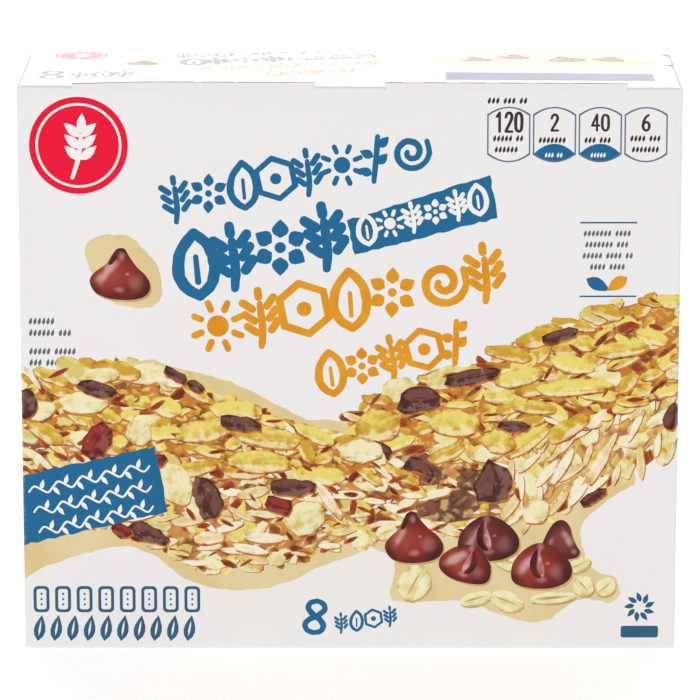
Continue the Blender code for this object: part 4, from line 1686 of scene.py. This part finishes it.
def add_ends(front):
    """Both closed ends: dust flaps folded in, and an outer flap glued over them."""
    size = at(DEPTH, HEIGHT)
    own = end_print()
    for side, name in ((-1, "left"), (1, "right")):
        near = HALF_DEPTH if side < 0 else -HALF_DEPTH
        right = (0, side, 0)
        wrap = 1 if side > 0 else -1
        free = at(FLAP_FREE_GAP, 0.0)
        low = at(0.0, FLAP_SIDE_GAP) + (free if side < 0 else at(0, 0))
        high = at(DEPTH, HEIGHT - FLAP_SIDE_GAP) - (free if side > 0 else at(0, 0))
        shift = -HALF_WIDTH if side > 0 else HALF_WIDTH + DEPTH
        wrapped = [field.moved(shift=(shift, 0.0)) for field in front
                   if field.reaches(at(wrap * HALF_WIDTH - 6, 0), at(wrap * HALF_WIDTH + 6, HEIGHT))]
        flap = Panel(f"{name}_outer_flap", (side * HALF_WIDTH, near, 0), right, (0, 0, 1),
                     (at(0, 0), size), rectangle(low, high), END_SWELL,
                     ("left",) if side > 0 else ("right",))
        inside = at(BLEED, 0.0)
        blank = rectangle(inside, size) if side > 0 else rectangle(at(0, 0), size - inside)
        make_board(flap, wrapped + [Field(blank, "board")] + own)
        tuck = at(2 * CREASE_RADIUS, 0.0)
        dust_sheet = rectangle(tuck if side > 0 else at(0, 0), size if side > 0 else size - tuck)
        dust = Panel(f"{name}_dust_flaps", (side * INNER_HALF_WIDTH, near, 0), right, (0, 0, 1),
                     (at(0, 0), size), dust_sheet, 0.0,
                     ("top", "bottom", "right" if side > 0 else "left"))
        openings = [ring_opening(at(0, 0), size, 4.0)]
        if side > 0:
            for distance in NOTCH_DISTANCES:
                middle = DEPTH - distance
                half = NOTCH_WIDTH / 2
                openings.append(rectangle(at(middle - half, HEIGHT - NOTCH_DEPTH),
                                          at(middle + half, HEIGHT + 1.0)))
        make_board(dust, [], openings)


def add_inside():
    """A dark box inside, painted shade, so that slits and cuts look into the dark."""
    half = at(INNER_HALF_WIDTH, HALF_DEPTH) - at(BOARD, BOARD) * 1.2
    low, high = BOARD * 1.2, HEIGHT - 7.0
    corners = [(x, y, z) for z in (low, high) for x, y in ((-half.x, -half.y), (half.x, -half.y),
                                                          (half.x, half.y), (-half.x, half.y))]
    faces = [(3, 2, 1, 0), (4, 5, 6, 7), (0, 1, 5, 4), (1, 2, 6, 5), (2, 3, 7, 6), (3, 0, 4, 7)]
    mesh = bpy.data.meshes.new("inner_board")
    mesh.from_pydata([Vector(corner) * MM for corner in corners], [], faces)
    mesh.materials.append(INKS["inside"])
    add_piece("inner_board", mesh)


def build_pack():
    """Every piece of board on the carton."""
    front = front_print()
    tab_depth = HALF_DEPTH - BOARD
    make_board(Panel("front_panel", (0, -HALF_DEPTH, 0), (1, 0, 0), (0, 0, 1),
                     (at(-HALF_WIDTH, 0), at(HALF_WIDTH, HEIGHT)), front_sheet(), FACE_SWELL,
                     ("left", "right", "bottom", "top"), LIP_RUNS), front + hinge_shades())
    notches = [notch_outline(HALF_DEPTH - distance, INNER_HALF_WIDTH, NOTCH_LENGTH)
               for distance in NOTCH_DISTANCES]
    make_board(Panel("top_panel", (0, 0, HEIGHT), (1, 0, 0), (0, 1, 0),
                     (at(-INNER_HALF_WIDTH, -HALF_DEPTH), at(INNER_HALF_WIDTH, HALF_DEPTH)),
                     top_sheet(), TOP_SWELL, ("left", "right", "top", "bottom")),
               top_print(), notches)
    back_low = at(-INNER_HALF_WIDTH, 0.0)
    back_high = at(INNER_HALF_WIDTH, HEIGHT)
    make_board(Panel("back_panel", (0, HALF_DEPTH, 0), (-1, 0, 0), (0, 0, 1), (back_low, back_high),
                     rectangle(at(-INNER_HALF_WIDTH, SEAM_HEIGHT), back_high), FACE_SWELL,
                     ("left", "right", "top")), back_print())
    make_board(Panel("bottom_panel", (0, 0, 0), (1, 0, 0), (0, -1, 0),
                     (at(-INNER_HALF_WIDTH, -tab_depth), at(INNER_HALF_WIDTH, HALF_DEPTH)),
                     None, 0.0, ("left", "right", "top", "bottom")), bottom_print())
    make_board(Panel("glue_tab", (0, tab_depth, 0), (-1, 0, 0), (0, 0, 1),
                     (back_low, at(INNER_HALF_WIDTH, GLUE_TAB_HEIGHT)), None, 0.0,
                     ("left", "right", "bottom")), [])
    add_ends(front)
    add_inside()


build_pack()


# ---------------------------------------------------------------- floor, light and camera


def add_floor():
    """A plain pale floor, lit from within like a light table."""
    reach = 4.0
    mesh = bpy.data.meshes.new("floor")
    mesh.from_pydata([(-reach, -reach, 0), (reach, -reach, 0), (reach, reach, 0), (-reach, reach, 0)],
                     [], [(0, 1, 2, 3)])
    floor = bpy.data.objects.new("floor", mesh)
    bpy.context.scene.collection.objects.link(floor)
    material = bpy.data.materials.new("pale_floor")
    material.use_nodes = True
    shader = material.node_tree.nodes["Principled BSDF"]
    shader.inputs["Base Color"].default_value = (0.9, 0.9, 0.9, 1.0)
    shader.inputs["Roughness"].default_value = 0.9
    shader.inputs["Emission Color"].default_value = (1.0, 1.0, 1.0, 1.0)
    shader.inputs["Emission Strength"].default_value = 0.38
    mesh.materials.append(material)


def add_softbox(name, place, target, size, power):
    """A large soft lamp that the camera itself doesn't see."""
    lamp = bpy.data.lights.new(name, "AREA")
    lamp.shape = "RECTANGLE"
    lamp.size, lamp.size_y = size
    lamp.energy = power
    holder = bpy.data.objects.new(name, lamp)
    holder.location = place
    holder.rotation_euler = (Vector(target) - Vector(place)).to_track_quat("-Z", "Y").to_euler()
    holder.visible_camera = False
    bpy.context.scene.collection.objects.link(holder)


def add_camera():
    """The camera stands in front and looks slightly down."""
    camera = bpy.data.cameras.new("camera")
    camera.sensor_width = 36.0
    camera.lens = 242.8
    camera.clip_end = 20.0
    holder = bpy.data.objects.new("camera", camera)
    holder.location = (0.00214, -1.14293, 0.3349)
    holder.rotation_euler = (radians(90 - 13.06), radians(0.0), radians(0.108))
    bpy.context.scene.collection.objects.link(holder)
    bpy.context.scene.camera = holder


def add_world():
    """An even pale surround."""
    world = bpy.data.worlds.new("surround")
    world.use_nodes = True
    backdrop = world.node_tree.nodes["Background"]
    backdrop.inputs["Color"].default_value = (1.0, 1.0, 1.0, 1.0)
    backdrop.inputs["Strength"].default_value = 0.55
    bpy.context.scene.world = world
    bpy.context.scene.view_settings.view_transform = "Standard"


add_floor()
add_world()
add_softbox("front_key", (-0.25, -1.2, 0.95), (0.0, 0.0, 0.09), (1.2, 0.8), 4.7)
add_softbox("behind", (0.0, 1.9, 0.62), (0.0, 0.0, 0.14), (2.4, 0.9), 22.5)
add_camera()
